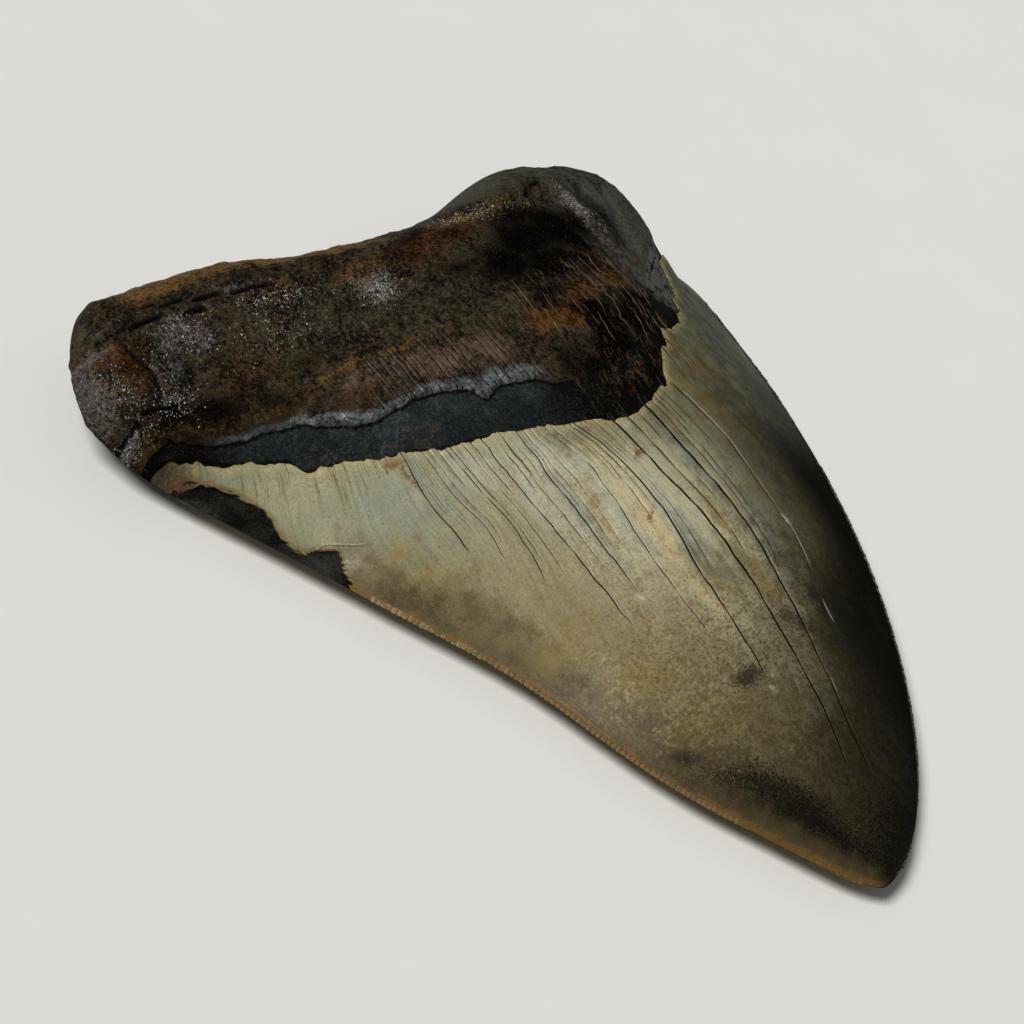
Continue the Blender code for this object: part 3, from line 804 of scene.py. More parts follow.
ROOT_STAINS = {
    "red": (
        (-50.3, 9.4, 3.6, 3.4, 80, 1), (-49, 5.5, 3, 2, 0, 0.6), (-36, 1, 7, 3, 0, 0.3),
        (0.5, 5.2, 9, 2.2, 6, 0.9), (10, 6.4, 4, 1.6, 0, 0.8), (-8, 4, 3, 3, 0, 0.5),
        (9.5, -26, 3, 1.4, -60, 0.45), (14, -24, 3, 1.6, -40, 0.35), (25, -5, 5, 2.5, 20, 0.5)),
    "orange": (
        (5.5, -13.2, 3.4, 2.2, -20, 1), (9.5, -13.8, 3, 1.8, 0, 0.7), (17, -10.4, 5, 1.6, 12, 0.7),
        (24.5, -8.8, 4.5, 1.8, 12, 0.8), (-13, 4.8, 3.6, 2.2, 0, 0.5), (-24, 8.5, 3, 1.6, 0, 0.3)),
    "ochre": (
        (12, 7.8, 9, 1, 2, 0.8), (20, 8.4, 5, 1.2, 0, 0.8), (-46, -3.2, 4, 1.2, -15, 0.5),
        (-51, -1, 3, 2, 0, 0.7), (-33, -4.5, 4, 0.8, -14, 0.5), (-24, -5.6, 4, 0.8, -5, 0.6),
        (-17, -7.1, 3, 0.8, -10, 0.5)),
    "moss": (
        (-9, -3.5, 8, 4, -5, 0.9), (-3, -7, 6, 3, 0, 0.9), (-14, 0, 6, 4, 0, 0.8),
        (-20, 2, 12, 5, 0, 0.7), (-30, 6, 8, 4, 0, 0.5), (6, 0, 8, 4, 0, 0.3), (20, 12, 11, 4, -10, 1),
        (34, 11, 7, 6, 0, 0.9), (-40, 4, 5, 4, 0, 0.5), (0, 10.5, 10, 2, 0, 0.6), (-8, -3, 8, 3, 0, 0.5),
        (-48, 15, 5, 2.4, -30, 0.6)),
    # frost patches: lilac-white bloom, most of all at the left end; the two on the ridge of the right lobe,
    # near x 32 to 33, are a painted highlight along that ridge
    "frost_and_highlight": (
        (-54.8, 9.5, 5, 1.2, 90, 1), (-52.8, 12.6, 2.4, 1.1, -40, 0.9), (-41, 9.4, 4.2, 3.2, 40, 0.65),
        (-37, 7.6, 2.6, 2, 0, 0.7), (-45, 5.5, 5, 4, 40, 0.4), (-12.5, 1.8, 2.8, 2.4, 0, 0.8),
        (-53.6, 1.4, 1.2, 1.2, 90, 0.9), (-24, 6.5, 5, 2, 0, 0.2), (33, 5.5, 4, 1.2, -88, 1),
        (32.4, -1, 5, 0.8, -89, 0.7), (22.5, 12, 3, 1, 0, 0.4), (-51.5, 12.6, 3, 1.2, -40, 0.6),
        (-30, 12.2, 7, 0.7, -17, 0.7)),
    "soot": (
        (-50.5, -0.8, 2.5, 1.5, 0, 1), (-46.5, -2.5, 3.5, 1.5, -20, 0.9), (-42, -3.8, 3, 1.2, -15, 0.7),
        (24, -6.5, 5, 2.4, -20, 0.9), (30.5, -2.3, 3, 3, 0, 0.7), (14.4, -14.9, 4, 3, -30, 0.9),
        (7, -12.5, 4, 2.5, 0, 0.6), (7.3, -22, 4, 2.5, -20, 0.9), (15.4, -24, 3, 2, -40, 0.9),
        (-52, 2, 3, 2, 0, 0.5), (-48.8, 0.2, 4, 2, -10, 0.8), (-42, -2.4, 5, 2, -20, 0.8),
        (-36, -4.6, 5, 1.8, -22, 0.6), (0, -0.5, 5, 2, 0, 0.6), (18, -3.2, 10, 2, -6, 0.9),
        (9, -1, 6, 2.5, -6, 0.8), (-40, -1.6, 5, 1.8, -22, 0.6), (-33, -5, 5, 1.8, -32, 0.65),
        (-26, -8.6, 5, 1.6, -22, 0.55), (25, 2, 7, 4, 0, 1), (17, 1, 9, 4, 0, 1), (28, -1, 5, 3, 0, 0.9),
        (8, -3, 6, 2.6, 10, 1), (15, -5, 7, 2.4, 10, 1), (14, -15, 9, 2.6, -20, 0.9),
        (25, -14, 4, 3, -30, 0.9), (-42, -1.5, 6, 2, -15, 0.8), (-49, 0, 3, 1.4, 0, 0.7),
        (-27, -2, 5, 2, 0, 0.45), (31, 3, 3, 3, 0, 0.9), (37, 3, 1.6, 4, 0, 0.8),
        (9, -9.5, 6, 1.5, 10, 0.7), (13, -21, 9, 5, 60, 1), (22, -16, 7, 4, 40, 0.9),
        (-2, 6.8, 4, 1.2, 0, 0.6), (20, 5, 10, 2, 0, 0.7), (-40, -5, 5, 1.2, -15, 0.8),
        (-43, 4.2, 2.4, 1, 40, 0.8), (-42.5, 6.6, 1.2, 1.6, 0, 0.6), (4, -20, 4, 3, 0, 0.6)),
    "slate": (
        (41, 1, 5, 9, 10, 1), (35, -10, 8, 4, -50, 0.9), (39, -7, 6, 4, -60, 0.9),
        (38, 9, 6, 5, 0, 0.6)),
    "salt": (
        (-12.5, 1.8, 2.4, 2.2, 0, 0.9), (-52.8, 1, 1.4, 1.8, 0, 0.9), (-47, 1.5, 3, 2, 0, 0.5),
        (-39, 11, 4, 1.6, -10, 0.4), (-26, 8.6, 4, 1.4, -10, 0.4), (33.2, 4.4, 3.6, 0.8, -80, 0.9),
        (-39, 8.4, 3, 2.2, 0, 0.3), (-24, 7, 5, 2, 0, 0.2), (-47, 4, 5, 5, 0, 0.1),
        (-52.6, 6.4, 1.2, 3, 0, 0.5), (12, 7.6, 10, 1.4, 0, 0.25), (-28, 4, 9, 4, 0, 0.1)),
    "pink": (
        (-12, -12, 4, 1.8, -10, 1), (-6.5, -12.4, 3, 1.6, -10, 0.9), (-15, -10, 4, 1.4, -10, 0.8),
        (-22, -8.5, 5, 1.4, -5, 0.5)),
    # rim_glow patches: painted highlights on the chipped rim of the root
    "rim_glow": (
        (-28, -11, 4.5, 0.7, -22, 0.8), (-37.5, -6.9, 6.5, 0.7, -14, 0.7), (-9.5, -16, 4, 1.9, -8, 1),
        (-3.5, -17, 4, 1.5, -8, 0.9), (-16, -14, 3, 0.8, -20, 0.5), (-22, -13, 3, 0.7, -10, 0.6)),
    "mound": (
        (18, 12.5, 12, 3.2, -3, 1), (30, 12.5, 6, 3.2, -15, 1), (41, 1, 4, 9, 8, 0.8),
        (37, -8, 7, 4, -50, 0.9)),
}
# Lower edge of the smooth mound of the right lobe, with a hollow below it.
MOUND_EDGE = ((7.4, 9.1), (13.9, 8.4), (20.9, 7.9), (26.7, 9.2), (30.8, 8.6), (32.6, 7.0))
MOUND_STEP = 0.55
MOUND_HOLLOW = 0.65
UNDER_ENAMEL = 2.0                  # how far the root runs on below the enamel's lip


def ribs(sizes):
    """Growth lines of the fine ribs on the root, unevenly spaced."""
    rng = np.random.default_rng(sizes.seed + 5)
    pitch = sizes.rib_pitch / MILLIMETRE / CROWN_HALF_WIDTH[0]
    placed = []
    s = -LINE_END[0] + pitch
    while s < LINE_END[1] - pitch:
        placed.append(s)
        s += pitch * rng.uniform(0.62, 1.38)
    return np.array(placed), rng.uniform(0.65, 1.0, len(placed))


def root_span():
    s = np.linspace(-LINE_END[0], LINE_END[1], 4000)
    y_base = basal_edge(s)
    line = on_line(plan_x(s, y_base), ENAMEL_LINE)
    open_lines = s[y_base - np.maximum(line, cutting_edge(s)[1]) > 0.3]
    return -LINE_END[0], open_lines[-1]


BASAL_BAND = (5.2, 3.4)             # the ochre strip along the basal edge of the left lobe
BASAL_BAND_LEFT = (-49.0, -38.0)
BASAL_BAND_RIGHT = (3.0, -14.0)


def basal_band(x, y, z, y_base, lingual):
    wander = mottle(x, y, z, 4.0, 141, 4)
    down = y_base - y + 1.2 * wander
    under = np.where(lingual > 0, 1, smooth(4.0, 0.5, down + 2.0 * wander))
    along = x + 3.0 * mottle(x, y, z, 5.0, 145, 4)
    ends = smooth(*BASAL_BAND_LEFT, along), smooth(*BASAL_BAND_RIGHT, along)
    return smooth(*BASAL_BAND, down) * under * ends[0] * ends[1]


RIB_TILT = (-0.001, 0.0030)         # growth lines the ribs cross in each millimetre, left, right
RIB_TILT_FROM = -12.0


def tilted(s, y):
    """Growth lines turned to follow the ribs, except near the basal edge and the lobes' ends."""
    left, right = RIB_TILT
    tilt = left + (right - left) * smooth(-0.1, 0.15, s)
    fade = smooth(0.0, 9.0, basal_edge(s) - y) * smooth(-0.98, -0.78, s) * smooth(0.78, 0.52, s)
    return s + tilt * (y - RIB_TILT_FROM) * fade


ROOT_EVEN_LINES = 40
RIB_HALF_WIDTH = 0.13
RIB_HEIGHT = 0.16
STRIA_HEIGHT = 0.06
BAND_DEPTH = 0.55                   # the band lies below the root above it
LIP_HEIGHT = 0.22                   # the chipped rim of the root stands up
RIDGE_HEIGHT = 0.20
HIDDEN_DEPTH = 0.75                 # the root's end lies under the enamel
CRUST_HEIGHT = 0.45
CRUST_X = (-49.5, -52.5)
FAR = 20.0                          # a height over a line that the labial face doesn't have


def front_line(x):
    """Where the root starts below the enamel's lip, on the lingual face."""
    return on_line(x, ENAMEL_LINE) - UNDER_ENAMEL


def back_line(x):
    return labial_line(x) - UNDER_ENAMEL


def root_lines(sizes, low, high, rib_lines):
    """Growth lines of the root, with close ones along each rib."""
    even = np.linspace(low, high, ROOT_EVEN_LINES)
    d = RIB_HALF_WIDTH / CROWN_HALF_WIDTH[0]
    gap = sizes.rib_pitch / MILLIMETRE / CROWN_HALF_WIDTH[0]
    centres = rib_lines[(rib_lines > low + 0.01) & (rib_lines < high - 0.01)]
    offsets = [(-d, 0, d, 0.36 * gap, 0.6 * gap)] * len(centres)
    s = with_lines(even, centres, offsets, 0.0016)
    return s[np.concatenate([[True], np.diff(s) > 0.0012])]


def rows_to_base(start, base, count, turn):
    """Rows from a start to the basal edge, the last ones spread round its curve."""
    length = np.maximum(base - start, 1e-6)
    rounded = np.minimum(BASAL_ROUNDING, length / 2) / length
    rows = np.linspace(0, 1, count)[:, None] * (1 - rounded)
    return start + np.concatenate([rows, 1 - rounded * (1 - turn[:, None])]) * length


def root_points(sizes, s):
    """Points of the root with their thickness, their row heights and their face."""
    y_edge, y_base = cutting_edge(s)[1], basal_edge(s)
    y_start = meeting_height(tilted, s, front_line, y_edge, y_base - 0.1)
    y_labial = meeting_height(straight, s, back_line, y_edge + 0.06, y_base - 0.1)
    turn = np.sin(np.linspace(0, math.pi / 2, sizes.rounding_rows))[1:]
    y_front = rows_to_base(y_start, y_base, sizes.root_rows, turn)
    y_back = rows_to_base(y_labial, y_base, sizes.labial_root_rows, turn[:-1])[::-1]
    own_lines = np.concatenate([tilted(s, y_front), straight(s, y_back)])
    y_rows = np.concatenate([y_front, y_back])
    lingual = np.concatenate([np.ones(y_front.shape), np.zeros(y_back.shape)])
    top, under = surface(own_lines, y_rows)
    points = np.where(lingual[..., None] > 0, top, under)
    return points, (top - under)[..., 2], y_rows, lingual


def rib_marks(lines, y, rib_lines, rib_strength):
    """How strong each rib is, and each pale stria in its place, at every point."""
    rib, stria = np.zeros(y.shape), np.zeros(y.shape)
    for k, centre in enumerate(rib_lines):
        here = np.abs(lines[0] - centre) < 1e-7
        if not here.any():
            continue
        yy = y[:, here]
        broken = np.clip(0.9 + 0.6 * grain(yy / 2.2, yy * 0 + k, yy * 0, 63), 0, 1)
        gaps = np.clip(0.35 + 1.3 * grain(yy / 2.6, yy * 0 + k, yy * 0, 69), 0, 1)
        rib[:, here] = rib_strength[k] * broken
        stria[:, here] = rib_strength[k] * gaps
    return rib, stria


def root_cracks(x, y, z, lingual):
    """How dark and how deep the cracks and grooves are at every point."""
    dark_parts, cut = np.zeros(y.shape), np.zeros(y.shape)
    wobble = 0.25 * mottle(x, y, z, 1.5, 65, 3)
    for route, deep, wide, dark in zip(ROOT_CRACKS, ROOT_CRACK_DEPTH, ROOT_CRACK_WIDTH, ROOT_CRACK_DARK):
        away = np.abs(to_path(x, y, route) + wobble)
        away = np.where(lingual > 0, away, 9.0)
        dark_parts = np.maximum(dark_parts, dark * smooth(1.25, 0.4, away / wide))
        cut = cut + deep * np.exp(-(away / wide)**2)
    return dark_parts, cut


def mound_height(x, y, z, lingual):
    """The smooth mound of the right lobe, with the hollow below its edge."""
    over = y - on_line(x, MOUND_EDGE) - 0.5 * mottle(x, y, z, 3.0, 151, 3)
    height = MOUND_STEP * smooth(-0.5, 0.7, over) - MOUND_HOLLOW * np.exp(-((over + 1.6) / 1.8)**2)
    return height * (smooth(5.0, 11.0, x) * smooth(36.0, 31.0, x) * lingual)


def rim_relief(x, y, z, over_rim, over_ridge, right):
    """Depth of the band, and height of the lip and of the ridge above it."""
    band = BAND_DEPTH * smooth(0.35, -0.1, over_rim) * (1 - 0.65 * right)
    lip = LIP_HEIGHT * np.exp(-((over_rim - 0.75) / 0.55)**2) * smooth(-36, -30, x) * (1 - right)
    lip = lip * (0.7 + 0.6 * mottle(x, y, z, 1.3, 67, 3))
    ridge = RIDGE_HEIGHT * np.exp(-((over_ridge - 0.6) / 1.1)**2) * (1 - right) * smooth(-48, -38, x)
    return band, lip, ridge


def worn_surface(x, y, z, over_rim):
    """Pits less the rough swells and the folds, quieter on the band and the slate flank."""
    calm = 1 - 0.75 * smooth(0.4, -0.2, over_rim) - 0.3 * patches(x, y, ROOT_STAINS["slate"], PATCH_WARP)
    pits = 0.30 * smooth(0.34, 0.60, mottle(x, y, z, 1.8, 79, 3))
    folds = 0.34 * mottle(x, y, z, (9.0, 1.6, 2.5), 83, 3) * smooth(6, 11, y)
    return (pits - relief(x, y, z, ROOT_ROUGH) - folds) * calm


def root_mesh(sizes):
    low, high = root_span()
    rib_lines, rib_strength = ribs(sizes)
    s = root_lines(sizes, low, high, rib_lines)
    points, thickness, y_rows, lingual = root_points(sizes, s)
    lines = np.broadcast_to(s, y_rows.shape)
    x, y, z = points[..., 0], points[..., 1], points[..., 2]

    over_rim = y - on_line(x, RIM_LINE) - 0.35 * mottle(x, y, z, 1.6, 61, 3) * (lingual > 0)
    over_rim = np.where(lingual > 0, over_rim, FAR)
    over_ridge = np.where(lingual > 0, y - on_line(x, RIDGE_LINE), FAR)
    over_enamel = np.where(lingual > 0, y - on_line(x, ENAMEL_LINE), y - labial_line(x))

    right = smooth(-3, 4, x)
    rib_zone = smooth(1.5, -0.8, over_ridge) * smooth(-0.6, 0.3, over_rim) * (1 - right)
    rib_zone = rib_zone * smooth(-52, -34, x) * (0.28 + 0.72 * smooth(-26, -18, x))
    stria_zone = smooth(-5.0, -8.0, y - 0.10 * x) * right * smooth(34, 27, x)
    stria_zone = stria_zone * (0.35 + 0.65 * smooth(-19.0, -14.0, y + 0.1 * x))
    rib, stria = rib_marks(lines, y_rows, rib_lines, rib_strength)
    ribbed, striae = rib * rib_zone, stria * stria_zone

    cracks, crack_cut = root_cracks(x, y, z, lingual)
    band, lip, ridge = rim_relief(x, y, z, over_rim, over_ridge, right)
    hidden = HIDDEN_DEPTH * smooth(-0.1, -0.9, over_enamel)
    crust = smooth(*CRUST_X, x) * np.maximum(0, mottle(x, y, z, 1.4, 161, 4))
    depth = ROOT_SINK + band - lip - ridge + hidden + crack_cut
    depth = depth + RIB_HEIGHT * ribbed - STRIA_HEIGHT * striae
    depth = depth - mound_height(x, y, z, lingual) - CRUST_HEIGHT * crust
    depth = depth + worn_surface(x, y, z, over_rim) * (0.5 + 0.5 * lingual)
    depth = np.clip(depth, 0.02, 0.45 * thickness + 0.02)
    ends = smooth(low, low + 0.012, lines) * smooth(high, high - 0.012, lines)
    fields = {
        "over_rim": np.clip(over_rim, -8, 8),
        "over_ridge": np.clip(over_ridge, -8, 12),
        "over_enamel": np.clip(over_enamel, -2, 12),
        "rib": ribbed, "stria": striae, "stria_zone": stria_zone,
        "crack": cracks,
        "basal": basal_band(x, y, z, basal_edge(s), lingual),
        "right_half": right,
        "rim_zone": smooth(-47, -40, x) * smooth(2, -6, x),
        "flow": np.stack([lines * CROWN_HALF_WIDTH[0], y_rows, z], axis=-1),
    }
    for label, spots in ROOT_STAINS.items():
        fields[label] = patches(x, y, spots, PATCH_WARP) * np.where(lingual > 0, 1, 0.5)
    return loop_mesh("root", points - outward(points) * (depth * ends)[..., None], fields)


# ---------------------------------------------------------------- serrations and grains

def rounded_block(segments, rings):
    """Unit rounded block: points and faces of a squared ball."""
    points, faces = [(0.0, 0.0, -1.0)], []
    for i in range(1, rings):
        polar = math.pi * i / rings
        for j in range(segments):
            turn = 2 * math.pi * j / segments
            flat = math.sin(polar)**0.5
            cx, cy = math.cos(turn), math.sin(turn)
            points.append((flat * math.copysign(abs(cx)**0.4, cx),
                           flat * math.copysign(abs(cy)**0.4, cy),
                           -math.copysign(abs(math.cos(polar))**0.6, math.cos(polar))))
    points.append((0.0, 0.0, 1.0))
    last = len(points) - 1
    for j in range(segments):
        k = (j + 1) % segments
        faces.append((0, 1 + k, 1 + j))
        for i in range(rings - 2):
            a, b = 1 + i * segments, 1 + (i + 1) * segments
            faces.append((a + j, a + k, b + k, b + j))
        faces.append((last, last - segments + j, last - segments + k))
    return np.array(points), faces


def joined(name, parts, faces, fields):
    """One mesh from many copies of a small one; fields hold one value for each copy."""
    count, size = len(parts), len(parts[0])
    all_faces = [[i * size + v for v in face] for i in range(count) for face in faces]
    mesh = bpy.data.meshes.new(name)
    mesh.from_pydata(to_frame(np.concatenate(parts)).tolist(), [], all_faces)
    for label, values in fields.items():
        layer = mesh.attributes.new(label, "FLOAT", "POINT")
        layer.data.foreach_set("value", np.repeat(np.array(values, dtype=float), size))
    mesh.shade_smooth()
    return mesh


UPPER_EDGE = (-56.0, -36.0)         # the serrations grow paler toward the chip
SERRATION_TILT = 0.50               # radians from the plane of the blade
SERRATION_REACH = (0.42, 0.34)      # half length on the left and on the right edge
SERRATION_LIFT = 0.10
CROWN_MIDDLE = Vector((0.0, -45.0, 0.0))


def serration_axes(here, sign):
    """Place of a serration on a cutting edge, and its own directions."""
    ex, ey = (float(v) for v in cutting_edge(np.array(here)))
    nx, ny = (float(v) for v in cutting_edge(np.array(here + 0.002)))
    along = Vector((nx - ex, ny - ey, 0)).normalized() * sign
    inward = Vector((-along.y, along.x, 0)) * sign
    if inward.dot(CROWN_MIDDLE - Vector((ex, ey, 0))) < 0:
        inward = -inward
    level = math.cos(SERRATION_TILT)
    into = Vector((inward.x * level, inward.y * level, math.sin(SERRATION_TILT)))
    up = along.cross(into)
    return ex, ey, along, inward, into, up if up.z >= 0 else -up


def serration_mesh(sizes):
    """Small rounded tiles along both cutting edges."""
    rng = np.random.default_rng(sizes.seed + 9)
    block, faces = rounded_block(10, 6)
    pitch = sizes.serration_pitch / MILLIMETRE
    parts, tones, lefts, uppers = [], [], [], []
    for sign in (-1, 1):
        s = np.linspace(0.012, LINE_END[1] if sign > 0 else 0.995, 3000) * sign
        x, y = cutting_edge(s)
        travelled = np.concatenate([[0], np.cumsum(np.hypot(np.diff(x), np.diff(y)))])
        at = pitch
        while at < travelled[-1] - pitch:
            here = sign * float(np.interp(at, travelled, s * sign))
            wide = pitch * rng.uniform(0.45, 0.51)
            ex, ey, along, inward, into, up = serration_axes(here, sign)
            worn = float(grain(np.array(at / 6.0), np.array(float(sign)), np.array(0.0), 91))
            at += pitch * rng.uniform(0.92, 1.08)
            if ex < CHIP_LINE[-1][0] - 0.4 or worn > 0.55:
                continue
            reach = SERRATION_REACH[sign > 0] * rng.uniform(0.8, 1.2)
            proud = 0.15 - 0.18 * max(0.0, worn) + rng.uniform(-0.06, 0.04)
            centre = Vector((ex, ey, float(edge_height(ex, ey)) + 0.04)) + inward * (reach * 0.9 - proud)
            centre.z += SERRATION_LIFT
            axes = (along * wide, into * reach, up * rng.uniform(0.04, 0.08))
            parts.append(np.array([centre + axes[0] * p[0] + axes[1] * p[1] + axes[2] * p[2] for p in block]))
            tones.append(rng.uniform(0, 1))
            lefts.append(1.0 if sign < 0 else 0.0)
            uppers.append(float(smooth(*UPPER_EDGE, ey)))
    return joined("serrations", parts, faces, {"tone": tones, "left_edge": lefts, "upper": uppers})


def grain_mesh(sizes, carrier):
    """White mineral grains that cling to the root."""
    rng = np.random.default_rng(sizes.seed + 13)
    shape, faces = rounded_block(6, 4)
    area = np.array([a * b * f for _, _, a, b, _, f in ROOT_STAINS["salt"]])
    counts = np.round(area / area.sum() * sizes.grain_count).astype(int)
    parts, tones = [], []
    for (px, py, a, b, turn, _), count in zip(ROOT_STAINS["salt"], counts):
        c, sn = math.cos(math.radians(turn)), math.sin(math.radians(turn))
        for _ in range(count):
            u, v = rng.normal(0, 0.55, 2) * (a, b)
            x, y = px + u * c - v * sn, py + u * sn + v * c
            above = to_frame(np.array([x, y, 60.0]))
            hit, where, normal, _ = carrier.ray_cast(Vector(above), Vector((0, 0, -1)))
            size = 0.05 + 0.17 * rng.beta(1.1, 5.0)
            squash = rng.uniform(0.5, 1.0, 3)
            if not hit or normal.z < 0.15:
                continue
            place = np.array(where) / MILLIMETRE
            place[0] = place[0] / INSET + BOX_MIDDLE[0]
            place[1] = place[1] / INSET + BOX_MIDDLE[1]
            jitter = rng.uniform(0.7, 1.2, (len(shape), 1))
            turned = np.array(Matrix.Rotation(rng.uniform(0, 6.3), 3, Vector(rng.normal(0, 1, 3))))
            parts.append(place + (shape * jitter * squash * size) @ turned.T)
            tones.append(rng.uniform(0, 1))
    return joined("mineral_grains", parts, faces, {"tone": tones})


# ---------------------------------------------------------------- shader nodes

COVER_SPREAD = 0.5                  # how much a stain's field outweighs the grain of its edge


class Wire:
    """A shader socket that takes part in Python arithmetic."""

    def __init__(self, paint, socket):
        self.paint, self.socket = paint, socket

    def __add__(self, other):
        return self.paint.math("ADD", self, other)

    def __sub__(self, other):
        return self.paint.math("SUBTRACT", self, other)

    def __rsub__(self, other):
        return self.paint.math("SUBTRACT", other, self)

    def __mul__(self, other):
        return self.paint.math("MULTIPLY", self, other)

    __radd__ = __add__
    __rmul__ = __mul__

    def swing(self, reach):
        """A noise, which runs from 0 to 1, turned into a swing about 0."""
        return (self - 0.5) * reach


class Paint:
    """The nodes of one material."""

    def __init__(self, name):
        self.material = bpy.data.materials.new(name)
        self.material.use_nodes = True
        self.tree = self.material.node_tree
        self.shader = self.tree.nodes["Principled BSDF"]
        self.spot = self.node("ShaderNodeTexCoord", output="Object")

    def node(self, kind, settings=None, inputs=None, output=0):
        """Adds a node: its settings first, then a value or a link for each named socket."""
        node = self.tree.nodes.new(kind)
        for key, value in (settings or {}).items():
            setattr(node, key, value)
        for key, value in (inputs or {}).items():
            self.feed(node.inputs[key], value)
        return Wire(self, node.outputs[output])

    def feed(self, socket, value):
        if isinstance(value, Wire):
            self.tree.links.new(value.socket, socket)
        else:
            socket.default_value = value

    def math(self, operation, *values):
        return self.node("ShaderNodeMath", {"operation": operation}, dict(enumerate(values)))

    def field(self, name):
        return self.node("ShaderNodeAttribute", {"attribute_name": name}, output="Fac")

    def flow(self, across, along):
        """Position along the growth lines, in features of these sizes in millimetres."""
        flow = self.node("ShaderNodeAttribute", {"attribute_name": "flow"}, output="Vector")
        scale = (1 / across, 1 / along, 0.3 / along)
        return self.node("ShaderNodeVectorMath", {"operation": "MULTIPLY"}, {0: flow, 1: scale})

    def noise(self, size, detail=4.0, where=None, roughness=0.55, twist=0.0):
        """Noise with features of a size in millimetres, or one unit wide along a given place."""
        scale = 1.0 if size is None else 1 / (size * MILLIMETRE)
        return self.node("ShaderNodeTexNoise", None, {
            "Vector": where or self.spot, "Scale": scale, "Detail": detail,
            "Roughness": roughness, "Distortion": twist})

    def cells(self, size):
        """Distance to the middle of the nearest cell; size is in millimetres."""
        return self.node("ShaderNodeTexVoronoi", None, {
            "Vector": self.spot, "Scale": 1 / (size * MILLIMETRE)}, "Distance")

    def cover(self, name, breakup, share, edge=0.12, gain=2.0):
        """Grainy cover by a stain: none where its field is 0, nearly its share where it is 1."""
        level = self.field(name) * COVER_SPREAD + breakup.swing(gain) + (0.5 - COVER_SPREAD / 2)
        return self.step(0.5 - edge, 0.5 + edge, level) * self.step(0.02, 0.2, self.field(name)) * share

    def step(self, start, end, value):
        """Smooth step from 0 at start to 1 at end."""
        turned = start > end
        low, high = min(start, end), max(start, end)
        return self.node("ShaderNodeMapRange", {"interpolation_type": "SMOOTHSTEP"}, {
            "Value": value, "From Min": low, "From Max": high,
            "To Min": 1.0 if turned else 0.0, "To Max": 0.0 if turned else 1.0})

    def mix(self, first, second, share):
        colours = [v if isinstance(v, Wire) else (*v, 1.0) for v in (first, second)]
        return self.node("ShaderNodeMix", {"data_type": "RGBA"}, {0: share, 6: colours[0], 7: colours[1]}, 2)

    def layers(self, colour, *layers):
        """Lays stains over a colour, in turn; each layer is a stain and its share."""
        for stain, share in layers:
            colour = self.mix(colour, stain, share)
        return colour

    def bump(self, height, distance, strength):
        return self.node("ShaderNodeBump", None, {
            "Height": height, "Distance": distance * MILLIMETRE, "Strength": strength})

    def finish(self, **sockets):
        for key, value in sockets.items():
            self.feed(self.shader.inputs[key.replace("_", " ")], value)
        return self.material


def srgb(*levels):
    """Linear colour from the 0 to 255 levels of a colour picker."""
    shares = [v / 255 for v in levels]
    return tuple(v / 12.92 if v < 0.04045 else ((v + 0.055) / 1.055)**2.4 for v in shares)


# Numbers in the materials: a step runs between two levels of a noise, which has its mean at 0.5,
# or of a field; a share says how much of a stain is laid; lengths are in millimetres.

